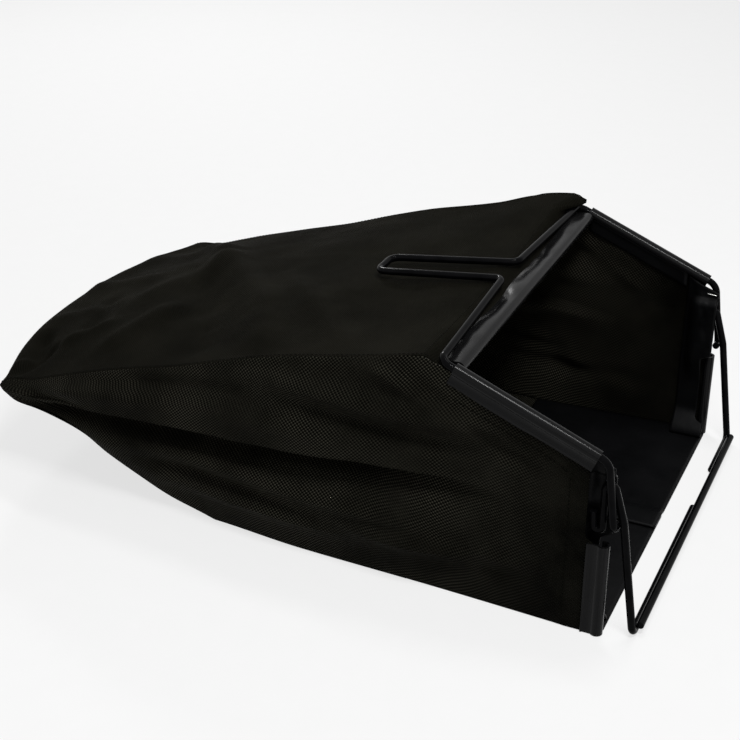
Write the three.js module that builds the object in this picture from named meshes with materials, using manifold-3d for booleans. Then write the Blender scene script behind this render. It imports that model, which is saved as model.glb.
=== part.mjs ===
// A grass collection bag for a walk-behind lawn mower: a soft bag with a stiff vinyl floor, hung in a
// bent wire frame. Millimetres, +Z up. The mouth faces -Y and the tail +Y, and the bag rests on Z = 0.
// Left is -X. Y is measured from the corner of the side hooks until the last step centres the bag.

import * as THREE from 'three';
import Module from 'manifold-3d';
import { mergeVertices } from 'three/addons/utils/BufferGeometryUtils.js';

// Wire frame
const WIRE_DIAMETER = 7;
const WIRE_SIDES = 12;
const BEND_STEPS = 6;
const FRAME_WIDTH = 380;
const HOOK_HEIGHT = 172;
const RAIL_RUN = 150;
const RAIL_RISE = 62;
const HOOK_DROP = 65;
const HOOK_LEAN = 7.5;
const HOOK_TIP = 11;
const HOOK_TIP_RISE = 2;
const HOOK_TIP_BEND = 5;
const HOOK_BEND = 14;
const RAIL_BEND = 10;

// The bar between the rails stands up and back a little at the handle
const BAR_CROWN = 3;
const BAR_BOW = 7;

// Handle hairpin, which leaves the bar rearwards and lies on the top panel
const HANDLE_REACH = 135;
const HANDLE_ROOT_WIDTH = 40;
const HANDLE_TIP_WIDTH = 35;
const HANDLE_DROP = 17;
const HANDLE_ROOT_BEND = 8;
const HANDLE_TIP_BEND = 9;

// Legs under the mouth, their curled ends beside the hooks, and the bar across their feet
const LEG_FORWARD = 31;
const LEG_KNEE_HEIGHT = 112;
const LEG_KNEE_FORWARD = 15;
const LEG_KNEE_BEND = 20;
const LEG_TOP_HEIGHT = 146;
const LEG_TOP_FORWARD = 5;
const CURL_WIDTH = 8;
const CURL_BOTTOM_HEIGHT = 101;
const CURL_TIP_HEIGHT = 119;
const CURL_TIP_REARWARD = 1;
const CURL_BEND = 3.9;
const FOOT_BEND = 7;
const LEFT_FOOT = 218;
const RIGHT_FOOT = 72;
const CROSSBAR_RISE_ANGLE = 50;
const CROSSBAR_INSET = 6;

// Snap binding: a split ring round the wire with a flat flange that the cloth is sewn to
const TOUCH = 0.3;
const BINDING_WALL = 2;
const BINDING_FLANGE = 8;
const FLANGE_STEP = 1.8;
const BINDING_LIP = 0.8;
const BINDING_LIP_WIDTH = 1.5;
const BINDING_OPENING = 165;
const RING_STEPS = 14;
const RAIL_BINDING_FRONT_GAP = 9;
const RAIL_BINDING_REAR_GAP = 14;
const BAR_BINDING_FORWARD = 13;
const BAR_BINDING_END_GAP = 3;
const LOWER_BINDING_HEIGHT = 92;
const LOWER_BINDING_FORWARD = 1;

// Cloth and vinyl
const CLOTH = 1.8;
const LINING = 1.5;
const SEAM_GAP = 0.6;
const FLOOR_SHEET = 2;
const FLOOR_DEPTH = 180;
const FLOOR_FRONT = 6;
const FLOOR_LAP = 26;
const FLOOR_LAP_OFFSET = -2;
const FLOOR_STEP_RUN = 10;
const FLOOR_STEP_EASE = 0.4;
const RAIL_LINING_WIDTH = 15;
const FRONT_LINING_REAR = 28;
const FRONT_LINING_FORWARD = 5;
const LINING_TOP_GAP = 1;
const LINING_ABOVE_LEG = 3;
const LINING_FLARE = 6;
const LINING_STEP_IN = 14;
const LINING_STEP_BACK = 10;
const MESH_FRONT_EDGE = 15;
const MESH_BEHIND_BORE = 1.4;

// Staple in the lining's corner
const STAPLE_LENGTH = 9;
const STAPLE_WIRE = 1;
const STAPLE_WIDTH = 1.2;
const STAPLE_REARWARD = 2;
const STAPLE_BELOW_HOOK = 9;

// Bag form, as heights and half widths along its length
const BAG_LENGTH = 611;
const TAIL_BULGE = 45;
const TAIL_BULGE_START = 298;
const TAIL_BULGE_POWER = 2.4;
const TAIL_SEAM = 4.6;
const TAIL_HEIGHT = 106;
const TAIL_HALF_WIDTH = 186;
const TOP_SWELL_BEHIND_BAR = 4;
const TOP_RISE_RUN = 12;
const FLOOR_HALF_WIDTH = 182;
const TAIL_LIFT_START = 388;
const SIDE_LIP_HEIGHT = 112;
const SIDE_BULGE = 16;
const SIDE_BELLY = 5;
const BELLY_FULL_HEIGHT = 60;

// The fold under the side's lip: how deep it is, how far down it is deepest, and how it comes back out
const SIDE_TUCK = 34;
const TUCK_DOWN = 14;
const TUCK_RETURN = 36;
const TUCK_LEFT = 0.35;

// Over these distances the cloth's form and folds fade in from what holds it
const FOLD_HOLD = 20;
const SIDE_FOLDS_START = 60;
const TOP_FOLDS_START = 200;
const FOLDS_START_RUN = 60;
const SIDE_FOLDS_END = 560;
const BELLY_START = 90;
const BELLY_START_RUN = 110;
const SLOPE_CHANGE_START = 120;
const SLOPE_CHANGE_RUN = 100;
const TOP_WIDENS_START = 8;
const TOP_WIDENS_END = 20;
const MESH_SETBACK_END = 60;

const wireRadius = WIRE_DIAMETER / 2;
const bindingBore = wireRadius + TOUCH;
const bindingOuter = bindingBore + BINDING_WALL;
const halfFrame = FRAME_WIDTH / 2;
const barHeight = HOOK_HEIGHT + RAIL_RISE;
const railLength = Math.hypot(RAIL_RUN, RAIL_RISE);
const railSlope = RAIL_RISE / RAIL_RUN;
const railCosine = RAIL_RUN / railLength;
const railSine = RAIL_RISE / railLength;
const flangeInside = bindingBore - FLANGE_STEP;
const sideFace = halfFrame + flangeInside - TOUCH;

const wasm = await Module();
wasm.setup();

const steel = { color: 0x0b0b0c, roughness: 0.22, metalness: 0.35 };
const binding = { color: 0x26262a, roughness: 0.35, metalness: 0 };
const vinyl = { color: 0x101012, roughness: 0.45, metalness: 0 };
const weave = { color: 0x14140f, roughness: 0.95, metalness: 0 };
const mesh = { color: 0x171711, roughness: 0.9, metalness: 0 };
const staple = { color: 0xb8b8b4, roughness: 0.3, metalness: 1 };

const bag = new THREE.Group();

function add(name, geometry, finish) {
  const part = new THREE.Mesh(geometry, new THREE.MeshStandardMaterial(finish));
  part.name = name;
  bag.add(part);
}

// A cubic that runs through the given [place, value] pairs and never swings past them.
function through(pairs) {
  const slopes = pairs.slice(1).map(([x, y], i) => (y - pairs[i][1]) / (x - pairs[i][0]));
  const tangents = pairs.map((pair, i) => {
    const before = slopes[Math.max(i - 1, 0)];
    const after = slopes[Math.min(i, slopes.length - 1)];
    if (before * after <= 0) return 0;
    return 2 * before * after / (before + after);
  });
  return (x) => {
    if (x <= pairs[0][0]) return pairs[0][1];
    if (x >= pairs[pairs.length - 1][0]) return pairs[pairs.length - 1][1];
    const i = pairs.findIndex((pair) => pair[0] > x) - 1;
    const width = pairs[i + 1][0] - pairs[i][0];
    const t = (x - pairs[i][0]) / width;
    const start = (1 + 2 * t) * (1 - t) ** 2 * pairs[i][1] + t * (1 - t) ** 2 * width * tangents[i];
    const end = t * t * (3 - 2 * t) * pairs[i + 1][1] + t * t * (t - 1) * width * tangents[i + 1];
    return start + end;
  };
}

function ease(from, to, x) {
  return THREE.MathUtils.smoothstep(x, Math.min(from, to), Math.max(from, to));
}

function spaced(from, to, count) {
  return Array.from({ length: count + 1 }, (_, i) => from + (to - from) * i / count);
}

// The same geometry on the other side of the bag, with its faces turned to stay outside.
function mirrored(geometry) {
  const copy = geometry.index ? geometry.toNonIndexed() : geometry.clone();
  const place = copy.attributes.position;
  const flipped = [];
  for (let i = 0; i < place.count; i += 3) {
    for (const corner of [i, i + 2, i + 1]) {
      flipped.push(-place.getX(corner), place.getY(corner), place.getZ(corner));
    }
  }
  const result = new THREE.BufferGeometry();
  result.setAttribute('position', new THREE.Float32BufferAttribute(flipped, 3));
  return mergeVertices(result);
}

function addPair(name, leftGeometry, finish) {
  add(`left_${name}`, leftGeometry, finish);
  add(`right_${name}`, mirrored(leftGeometry), finish);
}

// A wire's centreline: straight runs between corners, each corner rounded to its bend radius.
class BentWire extends THREE.Curve {
  constructor(corners) {
    super();
    this.stations = [];
    corners.forEach((corner, i) => this.round(corner, corners[i - 1], corners[i + 1]));
  }

  round(corner, previous, next) {
    const here = new THREE.Vector3(...corner.at);
    const inward = previous && here.clone().sub(new THREE.Vector3(...previous.at)).normalize();
    const outward = next && new THREE.Vector3(...next.at).sub(here).normalize();
    if (!previous || !next) {
      this.stations.push({ point: here, tangent: inward || outward });
      return;
    }
    const turn = inward.angleTo(outward);
    const reach = corner.bend * Math.tan(turn / 2);
    const axis = inward.clone().cross(outward).normalize();
    const toCentre = axis.clone().cross(inward);
    const start = here.clone().addScaledVector(inward, -reach);
    const centre = start.clone().addScaledVector(toCentre, corner.bend);
    for (let i = 0; i <= BEND_STEPS; i += 1) {
      const angle = turn * i / BEND_STEPS;
      const point = start.clone().sub(centre).applyAxisAngle(axis, angle).add(centre);
      this.stations.push({ point, tangent: inward.clone().applyAxisAngle(axis, angle) });
    }
  }

  station(u) {
    return this.stations[Math.round(u * (this.stations.length - 1))];
  }

  getPointAt(u) {
    return this.station(u).point.clone();
  }

  getTangentAt(u) {
    return this.station(u).tangent.clone();
  }
}

function wire(corners) {
  const path = new BentWire(corners);
  const rim = spaced(0, 2 * Math.PI, WIRE_SIDES).slice(0, -1);
  const section = new THREE.Shape(
    rim.map((angle) => new THREE.Vector2(wireRadius * Math.cos(angle), wireRadius * Math.sin(angle))),
  );
  const steps = path.stations.length - 1;
  return new THREE.ExtrudeGeometry(section, { steps, extrudePath: path, bevelEnabled: false });
}

// A thin sheet with its outer face on at(s, t), and its thickness inside.
function sheet(across, along, thickness, at) {
  const grid = across.map((s) => along.map((t) => at(s, t)));
  const rows = across.length;
  const columns = along.length;
  const outer = [];
  const inner = [];
  for (let i = 0; i < rows; i += 1) {
    for (let j = 0; j < columns; j += 1) {
      const acrossStep = grid[Math.min(i + 1, rows - 1)][j].clone().sub(grid[Math.max(i - 1, 0)][j]);
      const alongStep = grid[i][Math.min(j + 1, columns - 1)].clone().sub(grid[i][Math.max(j - 1, 0)]);
      const normal = acrossStep.cross(alongStep).normalize();
      outer.push(...grid[i][j].toArray());
      inner.push(...grid[i][j].clone().addScaledVector(normal, -thickness).toArray());
    }
  }
  const faces = [];
  const quad = (a, b, c, d) => faces.push(a, b, c, a, c, d);
  const top = (i, j) => i * columns + j;
  const under = (i, j) => rows * columns + i * columns + j;
  for (let i = 0; i < rows - 1; i += 1) {
    for (let j = 0; j < columns - 1; j += 1) {
      quad(top(i, j), top(i + 1, j), top(i + 1, j + 1), top(i, j + 1));
      quad(under(i, j), under(i, j + 1), under(i + 1, j + 1), under(i + 1, j));
    }
  }
  for (let i = 0; i < rows - 1; i += 1) {
    quad(top(i + 1, 0), top(i, 0), under(i, 0), under(i + 1, 0));
    quad(top(i, columns - 1), top(i + 1, columns - 1), under(i + 1, columns - 1), under(i, columns - 1));
  }
  for (let j = 0; j < columns - 1; j += 1) {
    quad(top(0, j), top(0, j + 1), under(0, j + 1), under(0, j));
    quad(top(rows - 1, j + 1), top(rows - 1, j), under(rows - 1, j), under(rows - 1, j + 1));
  }
  const geometry = new THREE.BufferGeometry();
  geometry.setAttribute('position', new THREE.Float32BufferAttribute([...outer, ...inner], 3));
  geometry.setIndex(faces);
  return geometry;
}

function solidOf(geometry) {
  const bare = new THREE.BufferGeometry();
  bare.setAttribute('position', geometry.attributes.position);
  bare.setIndex(geometry.index);
  const merged = mergeVertices(bare);
  const vertProperties = new Float32Array(merged.attributes.position.array);
  const triVerts = new Uint32Array(merged.index.array);
  return new wasm.Manifold(new wasm.Mesh({ numProp: 3, vertProperties, triVerts }));
}

function geometryOf(solid) {
  const { vertProperties, triVerts } = solid.getMesh();
  const geometry = new THREE.BufferGeometry();
  geometry.setAttribute('position', new THREE.BufferAttribute(vertProperties, 3));
  geometry.setIndex(new THREE.BufferAttribute(triVerts, 1));
  return geometry;
}

// The rail's centreline height over the floor, at a distance behind the hooks.
function railHeight(y) {
  return HOOK_HEIGHT + railSlope * y;
}

// The bag's form along its length
const underRail = bindingBore / railCosine;
const behindBar = RAIL_RUN + wireRadius + 1;
const seamHeight = through([
  [behindBar, barHeight - underRail],
  [behindBar + TOP_RISE_RUN, barHeight],
  [200, barHeight - 6],
  [238, 219],
  [304, 205],
  [351, 191],
  [412, 171],
  [460, 158],
  [508, 143],
  [545, 130],
  [580, 117],
  [BAG_LENGTH, TAIL_HEIGHT],
]);
const floorHeight = through([
  [TAIL_LIFT_START, 0],
  [432, 13],
  [470, 32],
  [502, 51],
  [524, 67],
  [545, 76],
  [578, 86],
  [596, 92],
  [BAG_LENGTH, TAIL_HEIGHT - TAIL_SEAM],
]);
const floorHalfWidth = through([
  [FRONT_LINING_REAR + 6, sideFace],
  [157, FLOOR_HALF_WIDTH + 4],
  [290, FLOOR_HALF_WIDTH],
  [405, FLOOR_HALF_WIDTH - 9],
  [470, FLOOR_HALF_WIDTH - 5],
  [522, FLOOR_HALF_WIDTH],
  [BAG_LENGTH, TAIL_HALF_WIDTH - 2],
]);
const seamHalfWidth = through([
  [RAIL_RUN, sideFace],
  [RAIL_RUN + 22, halfFrame + 1],
  [400, halfFrame + 1],
  [BAG_LENGTH, TAIL_HALF_WIDTH],
]);
const lipHeight = through([
  [20, SIDE_LIP_HEIGHT - 4],
  [157, SIDE_LIP_HEIGHT + 8],
  [284, SIDE_LIP_HEIGHT],
  [465, SIDE_LIP_HEIGHT - 8],
  [540, SIDE_LIP_HEIGHT - 10],
  [585, SIDE_LIP_HEIGHT - 13],
  [BAG_LENGTH, TAIL_HEIGHT - TAIL_SEAM / 2],
]);
const sideBulge = through([
  [60, 0],
  [130, 1.5],
  [170, SIDE_BULGE * 0.55],
  [280, SIDE_BULGE],
  [465, SIDE_BULGE],
  [545, SIDE_BULGE * 0.7],
  [BAG_LENGTH, 0],
]);
const sideTuck = through([
  [90, 0],
  [160, SIDE_TUCK * 0.5],
  [240, SIDE_TUCK],
  [430, SIDE_TUCK],
  [500, SIDE_TUCK * 0.85],
  [560, SIDE_TUCK * 0.7],
  [590, SIDE_TUCK * 0.3],
  [BAG_LENGTH, 0],
]);

// How far the right seam stands above the left one, where the cloth puffs up
const rightRise = through([
  [RAIL_RUN, 0],
  [behindBar + TOP_RISE_RUN, 9],
  [192, 9],
  [238, 4],
  [290, 1],
  [351, 0],
  [475, -3],
  [528, -2],
  [582, -1],
  [BAG_LENGTH, 0],
]);
const topCrown = through([
  [RAIL_RUN, 0],
  [RAIL_RUN + 20, -TOP_SWELL_BEHIND_BAR],
  [240, -1],
  [350, 7],
  [470, 9],
  [BAG_LENGTH, 0],
]);
const rearSag = through([
  [TAIL_LIFT_START, 0],
  [450, 8],
  [540, 9],
  [BAG_LENGTH, 0],
]);

// Long soft folds in the top cloth: a ridge between two [x, y] points, with its width and height.
const TOP_FOLDS = [
  { from: [135, 560], to: [82, 505], width: 36, height: 5 },
  { from: [82, 513], to: [-70, 383], width: 40, height: 7 },
  { from: [-60, 388], to: [-178, 325], width: 38, height: 6 },
  { from: [-10, 380], to: [-165, 250], width: 30, height: 3 },
  { from: [60, 470], to: [-60, 520], width: 38, height: 4 },
  { from: [-60, 455], to: [-150, 500], width: 32, height: 4 },
  { from: [-95, 540], to: [-150, 625], width: 24, height: 5 },
  { from: [-45, 560], to: [-60, 645], width: 26, height: 4 },
  { from: [20, 560], to: [30, 650], width: 26, height: 4 },
  { from: [95, 545], to: [120, 630], width: 26, height: 4 },
];

// Folds in the side mesh, as [y, z] points.
const SIDE_FOLDS = [
  { from: [440, 82], to: [170, 76], width: 22, height: 7 },
  { from: [430, 34], to: [90, 40], width: 22, height: 6 },
  { from: [215, 214], to: [90, 168], width: 22, height: 4 },
  { from: [300, 186], to: [130, 176], width: 24, height: 4 },
];

function foldHeight(folds, across, along) {
  return folds.reduce((sum, fold) => {
    const start = new THREE.Vector2(...fold.from);
    const run = new THREE.Vector2(...fold.to).sub(start);
    const offset = new THREE.Vector2(across, along).sub(start);
    const share = offset.dot(run) / run.lengthSq();
    const aside = offset.cross(run) / run.length() / fold.width;
    const ends = ease(-0.25, 0.25, share) * (1 - ease(0.75, 1.25, share));
    return sum + fold.height * ends * Math.exp(-3 * aside * aside);
  }, 0);
}

// The side panel's top edge: close under the rail, then along the seam with the top panel.
function sideTop(y, rise) {
  if (y < behindBar) return Math.min(railHeight(y), barHeight) - underRail;
  return seamHeight(y) + rise * rightRise(y);
}

function sideHalfWidth(y, z, rise) {
  const lip = lipHeight(y);
  const top = sideTop(y, rise);
  const bottom = floorHeight(y);
  const widest = THREE.MathUtils.lerp(floorHalfWidth(y), seamHalfWidth(y), 0.5) + sideBulge(y);
  if (z > lip) {
    const up = (z - lip) / (top - lip);
    const change = ease(SLOPE_CHANGE_START, SLOPE_CHANGE_START + SLOPE_CHANGE_RUN, y);
    const power = THREE.MathUtils.lerp(2, 0.8, change);
    return seamHalfWidth(y) + (widest - seamHalfWidth(y)) * (1 - up) ** power;
  }
  const below = lip - z;
  const down = below / (lip - bottom);
  const returned = (1 - TUCK_LEFT) * ease(TUCK_DOWN, TUCK_RETURN, below);
  const tucked = sideTuck(y) * ease(0, TUCK_DOWN, below) * (1 - returned) * (1 - down);
  const fullness = ease(BELLY_START, BELLY_START + BELLY_START_RUN, y)
    * Math.min(1, (lip - bottom) / BELLY_FULL_HEIGHT);
  const belly = SIDE_BELLY * fullness * 4 * down * (1 - down);
  return THREE.MathUtils.lerp(widest, floorHalfWidth(y), down) - tucked + belly;
}

function upperFrameWire() {
  const rad = THREE.MathUtils.degToRad(HOOK_LEAN);
  const hookEnd = [HOOK_DROP * -Math.sin(rad), HOOK_HEIGHT - HOOK_DROP * Math.cos(rad)];
  const rootHeight = barHeight + BAR_CROWN;
  const half = (sign) => [
    { at: [sign * (halfFrame - HOOK_TIP), hookEnd[0], hookEnd[1] + HOOK_TIP_RISE] },
    { at: [sign * halfFrame, ...hookEnd], bend: HOOK_TIP_BEND },
    { at: [sign * halfFrame, 0, HOOK_HEIGHT], bend: HOOK_BEND },
    { at: [sign * halfFrame, RAIL_RUN, barHeight], bend: RAIL_BEND },
    { at: [sign * HANDLE_ROOT_WIDTH / 2, RAIL_RUN + BAR_BOW, rootHeight], bend: HANDLE_ROOT_BEND },
    {
      at: [sign * HANDLE_TIP_WIDTH / 2, RAIL_RUN + HANDLE_REACH, rootHeight - HANDLE_DROP],
      bend: HANDLE_TIP_BEND,
    },
  ];
  return wire([...half(-1), ...half(1).reverse()]);
}

const legPlane = halfFrame - WIRE_DIAMETER - TOUCH;

function legWire(footLength) {
  const x = -legPlane;
  const downArm = CURL_WIDTH - LEG_TOP_FORWARD;
  const upArm = downArm + CURL_WIDTH;
  return wire([
    { at: [x, upArm + CURL_TIP_REARWARD, CURL_TIP_HEIGHT] },
    { at: [x, upArm, CURL_BOTTOM_HEIGHT], bend: CURL_BEND },
    { at: [x, downArm, CURL_BOTTOM_HEIGHT], bend: CURL_BEND },
    { at: [x, downArm, LEG_TOP_HEIGHT], bend: CURL_BEND },
    { at: [x, -LEG_TOP_FORWARD, LEG_TOP_HEIGHT], bend: CURL_BEND },
    { at: [x, -LEG_KNEE_FORWARD, LEG_KNEE_HEIGHT], bend: LEG_KNEE_BEND },
    { at: [x, -LEG_FORWARD, wireRadius], bend: FOOT_BEND },
    { at: [x + footLength, -LEG_FORWARD, wireRadius] },
  ]);
}

function crossbarWire() {
  const rad = THREE.MathUtils.degToRad(CROSSBAR_RISE_ANGLE);
  const away = WIRE_DIAMETER + TOUCH;
  const y = -LEG_FORWARD - away * Math.cos(rad);
  const z = wireRadius + away * Math.sin(rad);
  const end = legPlane - CROSSBAR_INSET;
  return wire([{ at: [-end, y, z] }, { at: [end, y, z] }]);
}

// The binding's section: x points to the flange's side and y away from the flange's free edge.
function bindingSection() {
  const arc = (radius, from, to) => spaced(from, to, RING_STEPS).map((angle) => (
    new THREE.Vector2(radius * Math.cos(angle), radius * Math.sin(angle))
  ));
  const flangeOutside = bindingOuter - FLANGE_STEP;
  const ringEnd = THREE.MathUtils.degToRad(360 - BINDING_OPENING);
  const flangeEnd = -(bindingOuter + BINDING_FLANGE);
  const lip = flangeOutside + BINDING_LIP;
  return new THREE.Shape([
    ...arc(bindingOuter, -Math.acos(flangeOutside / bindingOuter), ringEnd),
    ...arc(bindingBore, ringEnd, -Math.acos(flangeInside / bindingBore)),
    new THREE.Vector2(flangeInside, flangeEnd),
    new THREE.Vector2(lip, flangeEnd),
    new THREE.Vector2(lip, flangeEnd + BINDING_LIP_WIDTH),
    new THREE.Vector2(flangeOutside, flangeEnd + BINDING_LIP_WIDTH + BINDING_LIP),
  ]);
}

// A length of binding from one point, with the directions of its section's x and y.
function bindingLength(start, side, away, length) {
  const geometry = new THREE.ExtrudeGeometry(bindingSection(), { depth: length, bevelEnabled: false });
  const x = new THREE.Vector3(...side);
  const y = new THREE.Vector3(...away);
  const z = x.clone().cross(y);
  const place = new THREE.Matrix4().makeBasis(x, y, z).setPosition(new THREE.Vector3(...start));
  return geometry.applyMatrix4(place);
}

function railBinding() {
  const front = RAIL_BINDING_FRONT_GAP;
  const start = [-halfFrame, front * railCosine, HOOK_HEIGHT + front * railSine];
  const length = railLength - RAIL_BINDING_REAR_GAP - front;
  return bindingLength(start, [-1, 0, 0], [0, -railSine, railCosine], length);
}

const barBindingY = RAIL_RUN - BAR_BINDING_FORWARD;
const barBindingZ = barHeight - wireRadius - bindingOuter + FLANGE_STEP - BINDING_LIP - TOUCH;
const barBindingHalf = halfFrame - bindingOuter - BAR_BINDING_END_GAP;

function barBinding() {
  const start = [-barBindingHalf, barBindingY, barBindingZ];
  return bindingLength(start, [0, 0, 1], [0, -1, 0], 2 * barBindingHalf);
}

function lowerBinding() {
  const start = [-halfFrame, -LOWER_BINDING_FORWARD, TOUCH];
  return bindingLength(start, [-1, 0, 0], [0, -1, 0], LOWER_BINDING_HEIGHT - TOUCH);
}

function tailReach(share) {
  return TAIL_BULGE * (1 - Math.abs(share) ** TAIL_BULGE_POWER);
}

function topPanel() {
  const frontEdge = barBindingY + bindingBore;
  const underBinding = barBindingZ + flangeInside - TOUCH;
  const across = spaced(-1, 1, 18);
  const nominal = [
    ...spaced(frontEdge, RAIL_RUN + wireRadius, 2),
    ...spaced(behindBar + 6, 200, 4),
    ...spaced(217, BAG_LENGTH, 20),
  ];
  return sheet(across, nominal, CLOTH, (share, y) => {
    const clearOfWire = halfFrame - wireRadius - TOUCH;
    const besideSeam = seamHalfWidth(y) - CLOTH - SEAM_GAP;
    const widened = ease(RAIL_RUN + TOP_WIDENS_START, RAIL_RUN + TOP_WIDENS_END, y);
    const half = THREE.MathUtils.lerp(clearOfWire, besideSeam, widened);
    const x = share * half;
    const stretched = y + tailReach(share) * ease(TAIL_BULGE_START, BAG_LENGTH, y);
    const free = ease(RAIL_RUN + 2, behindBar + TOP_RISE_RUN, y);
    const rightward = rightRise(y) * ease(0.2, 1, share);
    const risen = seamHeight(y) + rightward + topCrown(y) * (1 - share * share);
    const held = (1 - share ** 4) * ease(TOP_FOLDS_START, TOP_FOLDS_START + FOLDS_START_RUN, y);
    const folded = foldHeight(TOP_FOLDS, x, stretched) * held;
    const z = THREE.MathUtils.lerp(underBinding, risen, free) + folded;
    return new THREE.Vector3(x, stretched, z);
  });
}

// Rows of the side panel from its bottom edge (2) over the lip (1) to its top edge (0).
const SIDE_ROWS = [2, 1.85, 1.7, 1.55, 1.4, 1.28, 1.18, 1.12, 1.06, 1, 0.95, 0.85, 0.7, 0.5, 0.3, 0.12, 0];

// The left side panel, with this share of the right seam's rise.
function sidePanel(rise) {
  const front = bindingBore + MESH_BEHIND_BORE - LOWER_BINDING_FORWARD;
  const stations = [
    ...spaced(front, 130, 9),
    ...spaced(140, 170, 5),
    ...spaced(190, BAG_LENGTH, 20),
  ];
  return sheet(SIDE_ROWS, stations, CLOTH, (row, y) => {
    const lip = lipHeight(y);
    const bottom = floorHeight(y) + TOUCH;
    const top = sideTop(Math.max(y, MESH_FRONT_EDGE), rise);
    const z = row < 1 ? THREE.MathUtils.lerp(top, lip, row) : THREE.MathUtils.lerp(lip, bottom, row - 1);
    const setBack = (MESH_FRONT_EDGE - front) * ease(LOWER_BINDING_HEIGHT - 4, LOWER_BINDING_HEIGHT + 6, z);
    const placed = y + setBack * (1 - ease(front, MESH_SETBACK_END, y));
    const fromSeams = ease(0, FOLD_HOLD, top - z) * ease(0, FOLD_HOLD, z - bottom);
    const fromFront = ease(SIDE_FOLDS_START, SIDE_FOLDS_START + FOLDS_START_RUN, y);
    const held = fromSeams * fromFront * (1 - ease(SIDE_FOLDS_END, BAG_LENGTH, y));
    return new THREE.Vector3(-sideHalfWidth(y, z, rise) - foldHeight(SIDE_FOLDS, y, z) * held, placed, z);
  });
}

function bottomPanel() {
  const across = spaced(1, -1, 16);
  const nominal = [...spaced(FLOOR_DEPTH + TOUCH, TAIL_LIFT_START, 3), ...spaced(405, BAG_LENGTH, 11)];
  return sheet(across, nominal, CLOTH, (share, y) => {
    const half = floorHalfWidth(y) - CLOTH - SEAM_GAP;
    const stretched = y + tailReach(share) * ease(TAIL_BULGE_START, BAG_LENGTH, y);
    const sag = Math.min(rearSag(y), floorHeight(y)) * (1 - share * share);
    return new THREE.Vector3(share * half, stretched, floorHeight(y) - sag);
  });
}

// The floor's outline as seen from above, with its front corners cut back beside the lower bindings.
function floorOutline() {
  const notchX = halfFrame - bindingOuter - TOUCH;
  const notchY = bindingOuter - LOWER_BINDING_FORWARD + TOUCH;
  const edge = (y) => floorHalfWidth(y) - CLOTH - LINING - 2 * TOUCH;
  const right = [
    [notchX, -FLOOR_FRONT],
    [notchX, notchY],
    ...spaced(notchY, FLOOR_DEPTH, 6).map((y) => [edge(y), y]),
  ];
  const left = right.map(([x, y]) => [-x, y]).reverse();
  return new THREE.Shape([...right, ...left].map(([x, y]) => new THREE.Vector2(x, y)));
}

function floorSheet(section) {
  const depth = FLOOR_DEPTH + FLOOR_FRONT;
  const laid = new THREE.ExtrudeGeometry(section, { depth, bevelEnabled: false })
    .rotateX(Math.PI / 2)
    .translate(0, FLOOR_DEPTH, 0);
  const plan = new THREE.ExtrudeGeometry(floorOutline(), { depth: 4 * FLOOR_SHEET, bevelEnabled: false })
    .translate(0, 0, -FLOOR_SHEET);
  return geometryOf(solidOf(laid).intersect(solidOf(plan)));
}

function leftFloorSheet() {
  const inner = FLOOR_LAP_OFFSET + FLOOR_LAP / 2;
  return floorSheet(new THREE.Shape([
    new THREE.Vector2(-halfFrame, 0),
    new THREE.Vector2(inner, 0),
    new THREE.Vector2(inner, FLOOR_SHEET),
    new THREE.Vector2(-halfFrame, FLOOR_SHEET),
  ]));
}

// The right floor sheet steps up over the edge of the left one.
function rightFloorSheet() {
  const lapEnd = FLOOR_LAP_OFFSET - FLOOR_LAP / 2;
  const stepTop = FLOOR_LAP_OFFSET + FLOOR_LAP / 2 + 2 * TOUCH;
  const raised = FLOOR_SHEET + TOUCH;
  return floorSheet(new THREE.Shape([
    new THREE.Vector2(lapEnd, raised),
    new THREE.Vector2(stepTop, raised),
    new THREE.Vector2(stepTop + FLOOR_STEP_RUN, 0),
    new THREE.Vector2(halfFrame, 0),
    new THREE.Vector2(halfFrame, FLOOR_SHEET),
    new THREE.Vector2(stepTop + FLOOR_STEP_RUN + FLOOR_STEP_EASE, FLOOR_SHEET),
    new THREE.Vector2(stepTop + FLOOR_STEP_EASE, raised + FLOOR_SHEET),
    new THREE.Vector2(lapEnd, raised + FLOOR_SHEET),
  ]));
}

const liningFace = sideFace - CLOTH - TOUCH;
const besideCurl = legPlane - wireRadius - TOUCH;
const besideHook = halfFrame - wireRadius - TOUCH;

function liningHalfWidth(y, z) {
  const raised = ease(LOWER_BINDING_HEIGHT - LINING_STEP_IN, LOWER_BINDING_HEIGHT, z);
  const forward = 1 - ease(MESH_FRONT_EDGE, FRONT_LINING_REAR - 2, y);
  const overLeg = LEG_TOP_HEIGHT + wireRadius + LINING_ABOVE_LEG;
  const flared = ease(overLeg, overLeg + LINING_FLARE, z);
  const atFront = THREE.MathUtils.lerp(besideCurl, besideHook, flared);
  return THREE.MathUtils.lerp(liningFace, atFront, raised * forward);
}

// Rows of the front lining from the floor (0) to the rail (1), close together where it steps and flares.
const LINING_ROWS = [0, 0.2, 0.4, 0.44, 0.47, 0.5, 0.54, 0.57, 0.6, 0.75, 0.9, 0.925, 0.95, 1];

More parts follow.
